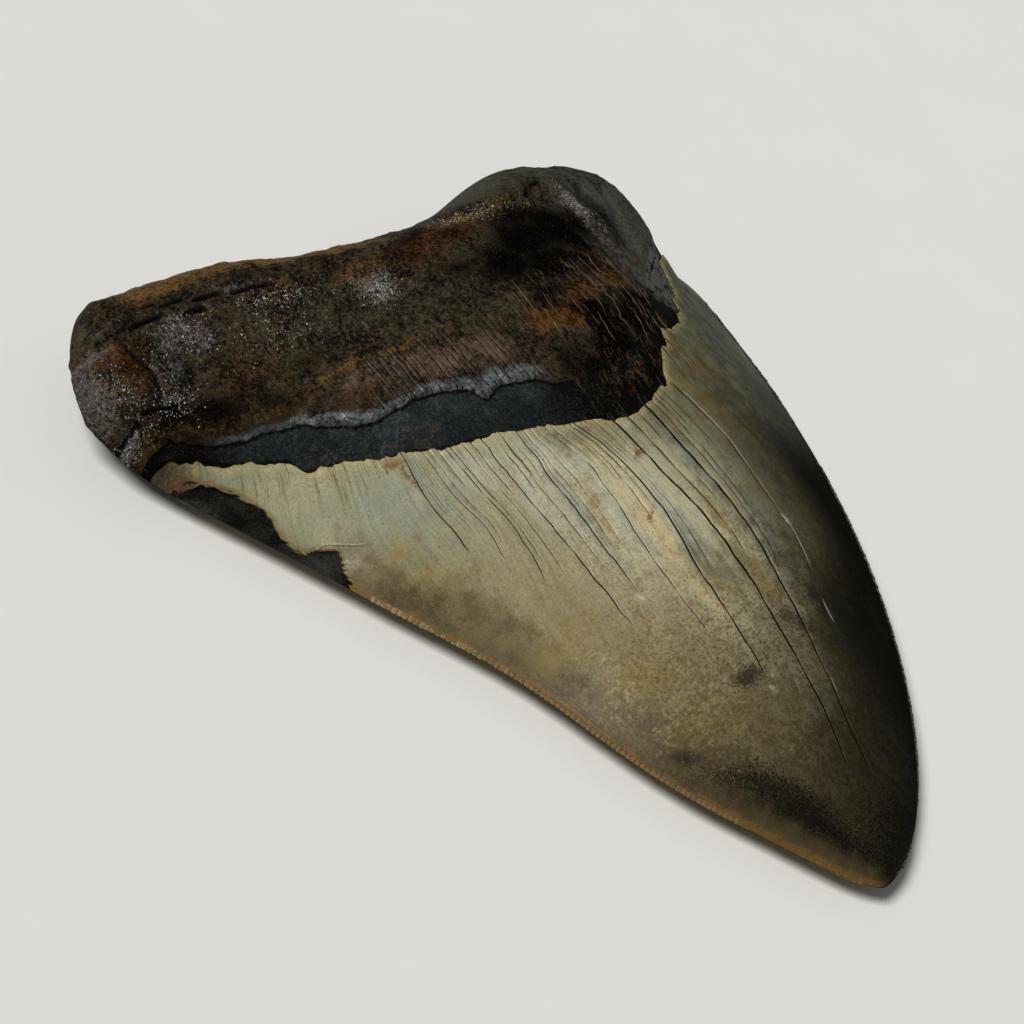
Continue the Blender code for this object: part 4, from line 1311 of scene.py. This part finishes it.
def enamel_material(c):
    p = Paint("enamel")
    cloud = p.noise(6.0, 5.0, roughness=0.62, twist=0.4)
    patch = p.noise(2.0, 7.0, roughness=0.7, twist=0.3)
    fleck = p.noise(0.8, 5.0, roughness=0.8)
    grit = p.noise(0.36, 4.0, roughness=0.75)
    dust = p.noise(0.18, 3.0, roughness=0.7)
    streak = p.noise(None, 5.0, p.flow(1.1, 20.0), twist=0.5)
    fine_streak = p.noise(None, 4.0, p.flow(0.16, 6.0), twist=0.3)
    grain_mix = patch * 0.5 + grit * 0.5
    streak_mix = streak * 0.6 + patch * 0.4
    patch_cloud = patch * 0.5 + cloud * 0.5
    lower, dark_tone_and_shade, fissure = p.field("lower"), p.field("dark_tone_and_shade"), p.field("fissure")
    from_edge, from_line, left = p.field("from_edge"), p.field("from_line"), p.field("left_half")

    ground = p.mix(c.enamel_green, c.enamel_pale, p.step(0.38, 0.62, streak_mix * 0.7 + cloud * 0.3))
    margin = p.mix(c.enamel_tan, c.enamel_shade, 0.6 + p.step(0.45, 0.6, patch) * 0.4)
    tone = p.step(0.42, 0.66, streak) * 0.22 + p.step(0.48, 0.60, fine_streak) * 0.18
    mottled = p.step(0.46, 0.62, grit) * (0.10 + lower * 0.46) + p.step(0.36, 0.70, patch) * 0.26
    mottled = mottled + p.step(0.50, 0.36, dust) * 0.14 + p.step(0.50, 0.60, fleck) * (0.03 + lower * 0.44)
    pale_flecks = p.step(0.47, 0.39, fleck) * p.step(0.44, 0.56, patch_cloud)
    flecks = p.step(0.53, 0.62, dust) * p.step(0.52, 0.60, patch_cloud)
    colour = p.layers(
        ground,
        # cream middle of the crown, partly a painted sheen
        (c.enamel_cream, p.cover("cream", streak_mix, 0.85, 0.32, 1.4)),
        (c.enamel_blue, p.cover("pale_blue", streak_mix, 0.75, 0.25, 1.6)),
        # painted highlight in the middle of the crown, and the pale flake at the chip
        (c.enamel_highlight_and_pale, p.cover("bright", streak_mix, 0.9, 0.3, 1.8)),
        (c.enamel_tan, p.cover("tan", grain_mix, 0.85, 0.35, 0.9)),
        (c.enamel_olive, p.cover("olive", streak_mix, 0.7, 0.3, 1.4)),
        (margin, p.cover("margin", grain_mix, 0.9, 0.3, 1.4)),
        (c.enamel_yellow, p.cover("yellow", grain_mix, 0.75, 0.25, 1.5)),
        (c.enamel_peach, p.cover("peach", streak_mix, 0.8, 0.3, 1.2)),
        (c.enamel_yellow, p.step(0.53, 0.61, cloud) * p.step(0.46, 0.56, grit) * 0.45),
        (c.enamel_shade, tone * (1 - lower * 0.6)),
        (c.enamel_shade, mottled),
        (p.mix(c.enamel_yellow, c.enamel_cream, 0.4), pale_flecks * lower * 0.8),
        (c.enamel_yellow, flecks * (0.25 + lower * 0.35)),
        (c.enamel_cream, p.step(0.56, 0.66, dust) * 0.28))

    golden = p.step(0.50, 0.62, streak_mix * 0.5 + grit * 0.5) * p.step(0.44, 0.56, cloud)
    half_dark_and_shade = dark_tone_and_shade * (1 - dark_tone_and_shade)
    smoke = p.step(0.46, 0.74, p.field("smoke") * 0.34 + grain_mix * 0.5 + dust * 0.5 - 0.09)
    pepper = p.step(0.50, 0.60, p.field("pepper") * 0.22 + dust * 0.5 + grit * 0.5 - 0.085)
    pepper_flecks = p.step(0.57, 0.66, dust) * p.step(0.50, 0.58, patch)
    colour = p.layers(
        colour,
        # painted shade over the right flank and the tip, partly the tip's own dark tone; the darkest of it
        # goes in the smoke colour
        (c.enamel_dark_and_shade, dark_tone_and_shade * (0.90 + patch.swing(0.8))),
        (p.mix(c.enamel_olive, c.enamel_yellow, 0.4), golden * dark_tone_and_shade * 0.42),
        (c.enamel_olive, p.step(0.50, 0.60, grain_mix) * half_dark_and_shade * 1.6),
        (c.enamel_yellow, p.step(0.57, 0.64, grain_mix) * half_dark_and_shade * 1.8),
        # near-black grey on the right flank, partly painted shade
        (c.enamel_grey_and_shade, p.cover("grey_flank", cloud * 0.5 + patch * 0.5, 0.75, 0.4)),
        (c.smoke, p.step(0.72, 1.0, dark_tone_and_shade) * (0.62 - patch.swing(1.2))),
        (c.smoke, smoke * 0.8),
        (c.smoke, pepper * 0.92),
        (c.enamel_olive, pepper * pepper_flecks * 0.6),
        (c.rust, p.cover("rust", grain_mix, 0.8)),
        (c.glint, p.cover("glint", grain_mix, 0.6, 0.14)))

    at_line = p.step(1.3, 0.1, from_line + grit.swing(1.6)) * (1 - dark_tone_and_shade * 0.8)
    line_colour = p.mix(c.enamel_yellow, c.enamel_cream, p.step(0.45, 0.6, grit))
    hair = p.step(0.58, 0.65, fine_streak) * p.step(7.0, 0.5, from_line + streak.swing(12.0))
    dark_line = p.step(0.08, 0.30, fissure + dust.swing(0.25))
    beside = p.step(0.45, 0.8, p.field("beside") + dust.swing(0.8))
    near_edge = p.step(3.4, 0.8, from_edge + patch.swing(4.0)) * left
    rim = p.step(0.95, 0.45, from_edge + grit.swing(1.2) + patch.swing(2.0))
    rim_colour = p.layers(
        p.mix(c.rim_ochre, c.rust, p.step(0.50, 0.62, patch) * 0.5),
        (c.enamel_cream, p.step(0.56, 0.7, grit) * 0.4))
    colour = p.layers(
        colour,
        (line_colour, at_line * 0.45),
        (c.fissure, hair * 0.5),
        (c.enamel_shade, p.step(0.0, 0.4, fissure) * 0.4),
        (c.fissure, dark_line),
        (c.glint, beside * 0.4),
        (c.enamel_shade, near_edge * 0.5),
        (p.mix(c.enamel_grey_and_shade, rim_colour, left), rim * (0.75 - dark_tone_and_shade * 0.3)))

    missing = p.field("missing") + grit.swing(0.3)
    sliver = p.step(0.1, 0.9, p.field("sliver") + streak_mix.swing(1.6))
    over_crack, at_crack = p.field("over_crack") + fleck.swing(0.5), p.field("at_crack")
    crack_lip = p.step(0.16, 0.06, p.math("ABSOLUTE", over_crack - 0.16)) * at_crack
    crack = p.step(0.13, 0.05, p.math("ABSOLUTE", over_crack)) * at_crack
    bare = p.step(-0.02, 0.12, missing)
    bare_colour = p.mix(c.bare_dark, c.bare_grey, p.step(0.42, 0.66, cloud * 0.5 + dust * 0.5))
    colour = p.layers(
        colour,
        (rim_colour, p.step(-0.5, -0.1, missing) * p.step(0.15, 0.0, missing) * 0.6),
        (p.mix(c.enamel_dark_and_shade, c.enamel_shade, p.step(0.5, 0.6, grit) * 0.4), sliver * 0.9),
        (c.enamel_cream, crack_lip * 0.25),
        (c.enamel_shade, crack * 0.9),
        (bare_colour, bare))
    underside = p.layers(
        p.mix(c.enamel_tan, c.enamel_olive, p.step(0.42, 0.6, patch)),
        (c.smoke, p.step(0.52, 0.66, grain_mix) * 0.5))
    colour = p.mix(underside, colour, p.step(0.1, 0.4, p.field("lingual")))

    height = streak.swing(0.6) + grit.swing(0.5) + dust.swing(0.5) + patch.swing(0.4) - dark_line * 0.5
    height = height - hair * 0.25 + bare * (patch.swing(4.0) + grit.swing(3.0))
    rough = 0.38 + patch.swing(0.3) + grit.swing(0.25) + bare * 0.3 + dark_line * 0.3 + pepper * 0.15
    return p.finish(Base_Color=colour, Roughness=rough, Normal=p.bump(height, 0.12, 0.6),
                    Coat_Weight=(1 - dark_tone_and_shade) * (1 - bare) * 0.40, Coat_Roughness=0.32,
                    Specular_IOR_Level=0.0)


def root_material(c):
    p = Paint("root_dentine")
    cloud = p.noise(6.0, 5.0, roughness=0.62, twist=0.5)
    patch = p.noise(2.0, 8.0, roughness=0.75, twist=0.3)
    grit = p.noise(0.6, 5.0, roughness=0.8)
    dust = p.noise(0.22, 4.0, roughness=0.7)
    streak = p.noise(None, 4.0, p.flow(0.6, 5.0), twist=0.4)
    grain_mix = patch * 0.45 + grit * 0.55
    over_rim, over_ridge, left = p.field("over_rim"), p.field("over_ridge"), 1 - p.field("right_half")
    soot, basal, rim_zone = p.field("soot"), p.field("basal"), p.field("rim_zone")

    gold = p.layers(
        p.mix(c.root_ochre, c.root_orange, p.step(0.42, 0.60, patch) * 0.4),
        (c.enamel_cream, p.step(0.54, 0.64, dust) * 0.3))
    below_ridge = p.step(1.4, -1.2, over_ridge + patch.swing(5.0)) * left
    ridge_top = p.math("ABSOLUTE", over_ridge - 0.2 + patch.swing(6.0))
    near_ridge = p.step(1.2, 0.1, ridge_top) * p.step(0.47, 0.55, grain_mix) * left
    colour = p.layers(
        p.mix(c.root_dark, c.root_brown, p.step(0.40, 0.60, grain_mix)),
        (c.root_moss, p.step(0.44, 0.60, patch * 0.5 + cloud * 0.5) * 0.5),
        (c.root_red, p.step(0.56, 0.64, cloud) * p.step(0.42, 0.56, grit) * 0.4),
        (c.root_moss, p.cover("moss", grain_mix, 0.85, 0.35)),
        (c.root_red, p.cover("red", grain_mix, 0.9, 0.3)),
        (c.root_ochre, p.cover("ochre", grain_mix, 0.85)),
        (gold, p.cover("basal", grain_mix, 0.9, 0.3)),
        (c.root_black, p.cover("soot", grain_mix, 0.97)),
        (c.root_slate, p.cover("slate", cloud * 0.7 + streak * 0.3, 0.9, 0.3)),
        (c.root_mound, p.cover("mound", patch * 0.6 + streak * 0.4, 0.85, 0.2)),
        (c.rib_brown, below_ridge * p.step(0.36, 0.58, grain_mix) * (0.35 + p.field("pink") * 0.65)),
        (c.root_ochre, near_ridge * 0.32),
        (c.rib_pink, p.cover("pink", grain_mix, 0.85, 0.3)))

    near_rim = p.step(1.2, 0.2, over_rim + patch.swing(2.0) - p.field("rim_glow") * 2.4) * rim_zone
    # painted highlights on the chipped rim
    rim_glow = p.cover("rim_glow", grain_mix, p.step(3.4, 1.2, over_rim + grit.swing(2.4)), 0.25)
    glow_grain = p.step(0.42, 0.60, dust * 0.4 + grit * 0.6)
    rim_glow = rim_glow * p.step(-0.05, 0.1, over_rim) * (0.25 + glow_grain * 0.45)
    band = p.step(0.10, -0.10, over_rim + grit.swing(0.25))
    vein = p.step(0.012, 0.004, p.math("ABSOLUTE", patch - 0.5)) * p.step(0.54, 0.60, cloud)
    band_colour = p.layers(
        p.mix(c.band_dark, c.band_blue, p.step(0.36, 0.64, cloud * 0.5 + dust * 0.5)),
        (c.band_dark, p.step(-1.0, -4.5, over_rim + patch.swing(3.0)) * 0.7))
    band_colour = p.layers(
        p.mix(c.root_black, band_colour, rim_zone * 0.9 + 0.1),
        (c.stria_pale, vein * 0.5),
        (c.root_red, p.cover("red", grain_mix, 0.6)),
        (c.root_slate, p.cover("slate", patch, 0.9, 0.16)))
    orange = p.layers(
        p.mix(c.root_orange, c.root_ochre, p.step(0.46, 0.60, patch) * 0.6),
        (c.root_red, p.step(0.50, 0.58, grit) * 0.5))
    rim_shadow = p.step(0.34, 0.1, p.math("ABSOLUTE", over_rim + 0.16) + grit.swing(0.3)) * left
    rib = p.step(0.10, 0.40, p.field("rib") + dust.swing(0.25))
    thread = p.noise(None, 3.0, p.flow(0.34, 3.6), twist=0.2)
    threads = p.step(0.57, 0.63, thread) * p.field("stria_zone") * p.step(0.44, 0.54, patch) * 0.7
    stria = p.math("MAXIMUM", p.step(0.12, 0.50, p.field("stria") + grit.swing(0.7)), threads)
    shade = p.step(0.56, 0.42, grit) * 0.5 + p.step(0.54, 0.38, patch) * 0.28
    shade = shade + p.step(0.56, 0.40, cloud) * 0.25 + p.step(0.50, 0.40, dust) * 0.2
    calm = p.math("MAXIMUM", p.math("MAXIMUM", band, below_ridge), p.field("mound"))
    calm = p.math("MAXIMUM", calm, basal * 0.5)
    clean = (1 - p.step(0.1, 0.8, soot) * 0.85) * (1 - band * 0.7)
    specks = p.step(0.26, 0.14, p.cells(0.6)) * p.step(0.50, 0.56, patch)
    gold_specks = p.step(0.22, 0.10, p.cells(0.5)) * p.step(0.47, 0.56, patch) * soot
    colour = p.layers(
        colour,
        (c.rim_blue, near_rim * p.step(0.36, 0.54, grain_mix) * 0.9),
        # painted rim highlight
        (c.rim_highlight, rim_glow),
        (band_colour, band),
        (orange, p.cover("orange", grain_mix, 0.8, 0.25)),
        (c.root_black, rim_shadow * 0.9),
        (c.root_black, rib * 0.92),
        (c.root_black, shade * (1 - calm * 0.65)),
        (c.stria_pale, p.step(0.52, 0.60, dust * 0.6 + grit * 0.4) * clean * 0.34),
        (c.stria_pale, specks * clean * 0.6),
        (c.root_ochre, gold_specks * 0.7),
        (c.stria_pale, stria * 0.8))

    # lilac-white bloom, and the painted highlight along the right lobe's ridge
    frost_and_highlight = p.step(0.51, 0.61, p.field("frost_and_highlight") * 0.17 + dust * 0.5 + grit * 0.5 - 0.03)
    frost_and_highlight = frost_and_highlight * p.step(0.05, 0.5, p.field("frost_and_highlight"))
    clumps = p.step(0.46, 0.24, p.cells(0.75)) * 0.55 + p.step(0.3, 0.18, p.cells(0.3)) * 0.45
    chosen = p.step(0.52, 0.56, p.field("salt") * 0.14 + p.noise(1.1, 2.0) * 0.5 + grit * 0.5)
    salt = p.step(0.30, 0.18, p.cells(0.42)) * chosen * p.step(0.02, 0.1, p.field("salt"))
    colour = p.layers(
        colour,
        (c.frost_and_highlight, frost_and_highlight * (clumps * 0.75 + 0.3)),
        (c.salt, salt * 0.6),
        (c.root_black, p.step(0.25, 0.75, p.field("crack") + grit.swing(0.6)) * 0.95),
        (c.root_black, p.step(0.45, 0.0, p.field("over_enamel") + grit.swing(0.5)) * 0.8))

    height = patch.swing(2.4) + grit.swing(2.0) + streak.swing(0.4)
    height = height * (1 - band * 0.6) + salt * 0.5 - rib * 0.5 + stria * 0.3
    rough = 0.46 + patch.swing(0.8) + grit.swing(0.8) + band * 0.12 - near_rim * 0.10
    sheen = near_rim * p.step(0.44, 0.6, grit) * 0.35 + rim_glow * 0.3 + clean * 0.12
    return p.finish(Base_Color=colour, Roughness=rough, Normal=p.bump(height, 0.30, 1.0),
                    Coat_Weight=sheen, Coat_Roughness=0.35, Specular_IOR_Level=0.0)


def serration_material(c):
    p = Paint("serrated_rim")
    patch = p.noise(1.6, 6.0, roughness=0.7)
    grit = p.noise(0.3, 4.0, roughness=0.7)
    tone = p.field("tone")
    fresh = p.mix(c.enamel_tan, c.enamel_cream, tone * 0.2 + 0.1)
    left = p.layers(
        p.mix(c.rim_ochre, c.rust, p.step(0.52, 0.62, patch) * 0.4),
        (c.enamel_shade, p.step(0.50, 0.42, patch) * 0.8),
        (c.enamel_shade, p.step(0.6, 1.0, tone) * 0.5),
        (fresh, p.field("upper") * (0.15 + p.step(0.45, 0.6, patch) * 0.4)))
    right = p.mix(c.enamel_grey_and_shade, c.enamel_green, tone * 0.2 + p.step(0.45, 0.65, patch) * 0.2)
    colour = p.mix(p.mix(right, left, p.field("left_edge")), c.smoke, p.step(0.50, 0.64, grit) * 0.5)
    return p.finish(Base_Color=colour, Roughness=0.45 + grit.swing(0.2),
                    Normal=p.bump(grit, 0.06, 0.6), Specular_IOR_Level=0.3)


def grain_material(c):
    p = Paint("mineral_grain")
    speck = p.noise(0.12, 2.0)
    colour = p.mix(c.frost_and_highlight, c.salt, p.step(0.45, 1.1, p.field("tone") + (speck - 0.5)))
    return p.finish(Base_Color=colour, Roughness=0.45 + speck.swing(0.3),
                    Normal=p.bump(speck, 0.02, 0.4))


def floor_material(c):
    p = Paint("pale_floor")
    speck = p.noise(14.0, 3.0)
    return p.finish(Base_Color=p.mix(c.floor, c.floor_shade, speck * 0.3),
                    Roughness=0.75 + speck.swing(0.1),
                    Normal=p.bump(p.noise(1.0, 2.0), 0.02, 0.1), Specular_IOR_Level=0.2)


# ---------------------------------------------------------------- what a user would change

def length(name, millimetres, description):
    return FloatProperty(name=name, description=description, default=millimetres * MILLIMETRE,
                         min=0.0, unit="LENGTH", precision=5)


def count(name, value, description):
    return IntProperty(name=name, description=description, default=value, min=1)


def colour(name, level, description):
    return FloatVectorProperty(name=name, description=description, default=srgb(*level),
                               subtype="COLOR", size=3, min=0.0, max=1.0)


class ToothSizes(bpy.types.PropertyGroup):
    """Sizes and counts of the tooth's fine detail."""

    fissure_width: length("Fissure width", 0.34, "Width of the longest fissures in the enamel")
    fissure_depth: length("Fissure depth", 0.30, "Depth of the longest fissures")
    chip_depth: length("Chip depth", 0.70, "Thickness of the enamel lost at the chipped corner")
    rib_pitch: length("Rib pitch", 1.02, "Mean distance between the fine ribs on the root")
    serration_pitch: length("Serration pitch", 0.78, "Distance between serrations")
    crown_lines: count("Crown lines", 330, "Even growth lines in the crown's mesh")
    crown_rows: count("Crown rows", 140, "Rows of the crown's lingual face")
    labial_rows: count("Labial rows", 40, "Rows of the crown's labial face")
    root_rows: count("Root rows", 118, "Rows of the root's lingual face")
    rounding_rows: count("Rounding rows", 18, "Rows round the basal edge")
    labial_root_rows: count("Labial root rows", 36, "Rows of the root's labial face")
    hairline_count: count("Hairlines", 84, "Short fissures that start at the enamel line")
    grain_count: count("Mineral grains", 1200, "Grains that cling to the root")
    seed: IntProperty(name="Seed", description="Start of every random draw", default=7)


class ToothColours(bpy.types.PropertyGroup):
    """Colours of the tooth and of the floor it lies on."""

    enamel_pale: colour("Enamel, pale", (178, 178, 148), "Palest plain enamel")
    enamel_green: colour("Enamel, green", (136, 137, 103), "Grey-green enamel")
    # also laid as a painted sheen in the middle of the crown
    enamel_cream: colour("Enamel, cream", (211, 206, 171), "Cream middle of the crown")
    enamel_blue: colour("Enamel, blue", (148, 158, 147), "Cool streaks in the enamel")
    enamel_tan: colour("Enamel, tan", (136, 117, 80), "Tan margin")
    enamel_olive: colour("Enamel, olive", (92, 88, 58), "Olive right half")
    # painted highlight in the middle of the crown, and the pale flake at the chip
    enamel_highlight_and_pale: colour("Enamel, bright", (195, 196, 174), "Palest enamel in the middle")
    enamel_peach: colour("Enamel, peach", (210, 187, 142), "Warm pale streak")
    enamel_yellow: colour("Enamel, yellow", (152, 126, 62), "Yellow patches")
    # near-black grey of the right flank, partly painted shade; also the rim and the serrations of the right
    # edge
    enamel_grey_and_shade: colour("Enamel, grey", (32, 34, 32), "Smooth right flank")
    # colour of the painted shade on the right flank and the tip, partly the tip's own dark tone; also the
    # dark end of the enamel at the left corner
    enamel_dark_and_shade: colour("Enamel, dusk", (20, 18, 11), "Dark tone of the tip and the right flank")
    enamel_shade: colour("Enamel, shade", (88, 77, 52), "Fine mottling")
    smoke: colour("Smoke", (14, 12, 9), "Dark clouds in the enamel")
    rust: colour("Rust", (112, 74, 32), "Iron stain")
    glint: colour("Glint", (206, 202, 184), "Pale mineral in the fissures")
    fissure: colour("Fissure", (14, 11, 8), "Dark inside of a fissure")
    rim_ochre: colour("Ochre rim", (112, 84, 40), "Serrated rim of the left edge")
    bare_dark: colour("Bare, dark", (15, 15, 13), "Bare dentine at the chip")
    bare_grey: colour("Bare, grey", (58, 58, 54), "Lighter grain of the bare dentine")
    root_dark: colour("Root, dark", (24, 19, 12), "Darkest plain root")
    root_brown: colour("Root, brown", (76, 61, 42), "Lighter plain root")
    root_black: colour("Root, black", (7, 6, 5), "Cracks and soot")
    root_red: colour("Root, red", (98, 54, 22), "Red-brown patches")
    root_orange: colour("Root, orange", (146, 92, 32), "Orange streaks")
    root_ochre: colour("Root, ochre", (134, 104, 54), "Ochre bands")
    root_moss: colour("Root, moss", (80, 77, 60), "Grey-green patches")
    root_mound: colour("Root, mound", (76, 76, 64), "Smooth grey-green mound of the right lobe")
    root_slate: colour("Root, slate", (100, 102, 96), "Grey right flank")
    rib_brown: colour("Ribs, brown", (82, 68, 52), "Ribbed zone")
    rib_pink: colour("Ribs, pink", (134, 110, 94), "Pinkish part of the ribbed zone")
    rim_blue: colour("Rim, blue", (90, 101, 104), "Rim above the band")
    # painted highlight on the chipped edge of the rim
    rim_highlight: colour("Rim, light", (168, 180, 184), "Chipped edge of the rim")
    band_dark: colour("Band, dark", (25, 31, 33), "Band between root and enamel")
    band_blue: colour("Band, blue", (46, 57, 60), "Lighter part of the band")
    stria_pale: colour("Striae", (128, 108, 84), "Pale striae on the right half")
    # lilac-white bloom, also the painted highlight along the right lobe's ridge; the grains use it as bloom
    # only
    frost_and_highlight: colour("Frost", (146, 142, 138), "Lilac-white bloom")
    salt: colour("Salt", (205, 200, 192), "White grains")
    floor: colour("Floor", (232, 232, 230), "Studio floor")
    floor_shade: colour("Floor, shade", (222, 222, 220), "Faint variation of the floor")


# ---------------------------------------------------------------- operators

class TOOTH_OT_crown(bpy.types.Operator):
    """Makes the enamel crown, with its fissures and the chipped corner"""

    bl_idname = "tooth.crown"
    bl_label = "Enamel crown"

    def execute(self, context):
        scene = context.scene
        show("enamel_crown", crown_mesh(scene.tooth_sizes), enamel_material(scene.tooth_colours))
        return {"FINISHED"}


class TOOTH_OT_root(bpy.types.Operator):
    """Makes the root, with the band under it, its ribs, cracks and stains"""

    bl_idname = "tooth.root"
    bl_label = "Root"

    def execute(self, context):
        scene = context.scene
        show("root", root_mesh(scene.tooth_sizes), root_material(scene.tooth_colours))
        return {"FINISHED"}


class TOOTH_OT_serrations(bpy.types.Operator):
    """Makes the serrations of both cutting edges"""

    bl_idname = "tooth.serrations"
    bl_label = "Serrations"

    def execute(self, context):
        scene = context.scene
        mesh = serration_mesh(scene.tooth_sizes)
        show("serrations", mesh, serration_material(scene.tooth_colours))
        return {"FINISHED"}


class TOOTH_OT_grains(bpy.types.Operator):
    """Scatters white mineral grains over the root"""

    bl_idname = "tooth.grains"
    bl_label = "Mineral grains"

    def execute(self, context):
        scene = context.scene
        root = bpy.data.objects.get("root")
        if root is None:
            raise RuntimeError("make the root before its grains")
        context.view_layer.update()
        mesh = grain_mesh(scene.tooth_sizes, root)
        show("mineral_grains", mesh, grain_material(scene.tooth_colours))
        return {"FINISHED"}


FLOOR_HALF = 2.5                    # metres
CAMERA_TARGET = (-8.045, 8.934, 8.0)
CAMERA_DISTANCE = 650.0
CAMERA_AZIMUTH = -67.0
CAMERA_ELEVATION = 41.0
CAMERA_ROLL = 32.2
CAMERA_SENSOR = 36.0
CAMERA_LENS = 175.3
CAMERA_CLIP = (0.01, 20.0)          # metres
FLOOR_DROP = 0.00005                # metres below the tooth
# Azimuth, elevation, strength, spread in radians, tint.
SUN = (-105.0, 52.0, 3.0, 0.36, (1.0, 0.98, 0.94))
WORLD_TINT = (0.84, 0.85, 0.86, 1.0)
WORLD_LIGHT = 0.15                  # as it lights the tooth
WORLD_SEEN = 0.8                    # as it is seen behind the tooth
# Name, azimuth, elevation, distance in metres, size in metres, watts, tint.
LAMPS = (
    ("fill", 80.0, 40.0, 1.4, 0.6, 0.5, (0.94, 0.97, 1.0)),
    ("back", 160.0, 40.0, 1.4, 1.0, 0.6, (1.0, 1.0, 1.0)),
)


def aim(azimuth, elevation):
    """Unit vector from the tooth toward a light or the camera; azimuth 0 is -Y, 90 is +X."""
    a, e = math.radians(azimuth), math.radians(elevation)
    return Vector((math.sin(a) * math.cos(e), -math.cos(a) * math.cos(e), math.sin(e)))


def link(thing, name):
    placed = bpy.data.objects.new(name, thing)
    bpy.context.scene.collection.objects.link(placed)
    return placed


class TOOTH_OT_studio(bpy.types.Operator):
    """Makes the floor, the lights and the camera"""

    bl_idname = "tooth.studio"
    bl_label = "Studio"

    def execute(self, context):
        scene = context.scene
        mesh = bpy.data.meshes.new("floor")
        h = FLOOR_HALF
        mesh.from_pydata([(-h, -h, 0), (h, -h, 0), (h, h, 0), (-h, h, 0)], [], [(0, 1, 2, 3)])
        mesh.materials.append(floor_material(scene.tooth_colours))
        floor = link(mesh, "floor")
        floor.location.z = -FLOOR_DROP
        world = bpy.data.worlds.new("studio")
        world.use_nodes = True
        world.node_tree.nodes["Background"].inputs["Color"].default_value = WORLD_TINT
        strength = world.node_tree.nodes["Background"].inputs["Strength"]
        path = world.node_tree.nodes.new("ShaderNodeLightPath")
        level = world.node_tree.nodes.new("ShaderNodeMapRange")
        level.inputs["To Min"].default_value = WORLD_LIGHT
        level.inputs["To Max"].default_value = WORLD_SEEN
        world.node_tree.links.new(path.outputs["Is Camera Ray"], level.inputs["Value"])
        world.node_tree.links.new(level.outputs["Result"], strength)
        scene.world = world
        azimuth, elevation, power, spread, tint = SUN
        data = bpy.data.lights.new("key", "SUN")
        data.energy, data.angle, data.color = power, spread, tint
        lamp = link(data, "key")
        lamp.location = aim(azimuth, elevation)
        lamp.rotation_euler = aim(azimuth, elevation).to_track_quat("Z", "Y").to_euler()
        for name, azimuth, elevation, distance, size, watts, tint in LAMPS:
            data = bpy.data.lights.new(name, "AREA")
            data.size, data.energy, data.color = size, watts, tint
            lamp = link(data, name)
            lamp.location = aim(azimuth, elevation) * distance
            lamp.rotation_euler = aim(azimuth, elevation).to_track_quat("Z", "Y").to_euler()
        data = bpy.data.cameras.new("camera")
        data.sensor_width, data.lens = CAMERA_SENSOR, CAMERA_LENS
        data.clip_start, data.clip_end = CAMERA_CLIP
        camera = link(data, "camera")
        back = aim(CAMERA_AZIMUTH, CAMERA_ELEVATION)
        turn = back.to_track_quat("Z", "Y").to_matrix()
        turn = turn @ Matrix.Rotation(math.radians(CAMERA_ROLL), 3, "Z")
        place = Vector(CAMERA_TARGET) * MILLIMETRE + back * CAMERA_DISTANCE * MILLIMETRE
        camera.matrix_world = Matrix.Translation(place) @ turn.to_4x4()
        scene.camera = camera
        scene.view_settings.view_transform = "Standard"
        return {"FINISHED"}


class VIEW3D_PT_tooth(bpy.types.Panel):
    """Lists the operators, sizes and colours of the tooth"""

    bl_label = "Megalodon tooth"
    bl_space_type = "VIEW_3D"
    bl_region_type = "UI"
    bl_category = "Tooth"

    def draw(self, context):
        for operator in OPERATORS:
            self.layout.operator(operator.bl_idname)
        for group in (context.scene.tooth_sizes, context.scene.tooth_colours):
            column = self.layout.column(align=True)
            for name in group.__annotations__:
                column.prop(group, name)


OPERATORS = (TOOTH_OT_crown, TOOTH_OT_root, TOOTH_OT_serrations, TOOTH_OT_grains, TOOTH_OT_studio)
CLASSES = (ToothSizes, ToothColours, *OPERATORS, VIEW3D_PT_tooth)


def register():
    for cls in CLASSES:
        bpy.utils.register_class(cls)
    bpy.types.Scene.tooth_sizes = PointerProperty(type=ToothSizes)
    bpy.types.Scene.tooth_colours = PointerProperty(type=ToothColours)


def unregister():
    del bpy.types.Scene.tooth_colours
    del bpy.types.Scene.tooth_sizes
    for cls in reversed(CLASSES):
        bpy.utils.unregister_class(cls)


def main():
    register()
    bpy.ops.tooth.crown()
    bpy.ops.tooth.root()
    bpy.ops.tooth.serrations()
    bpy.ops.tooth.grains()
    bpy.ops.tooth.studio()


if __name__ == "__main__":
    main()
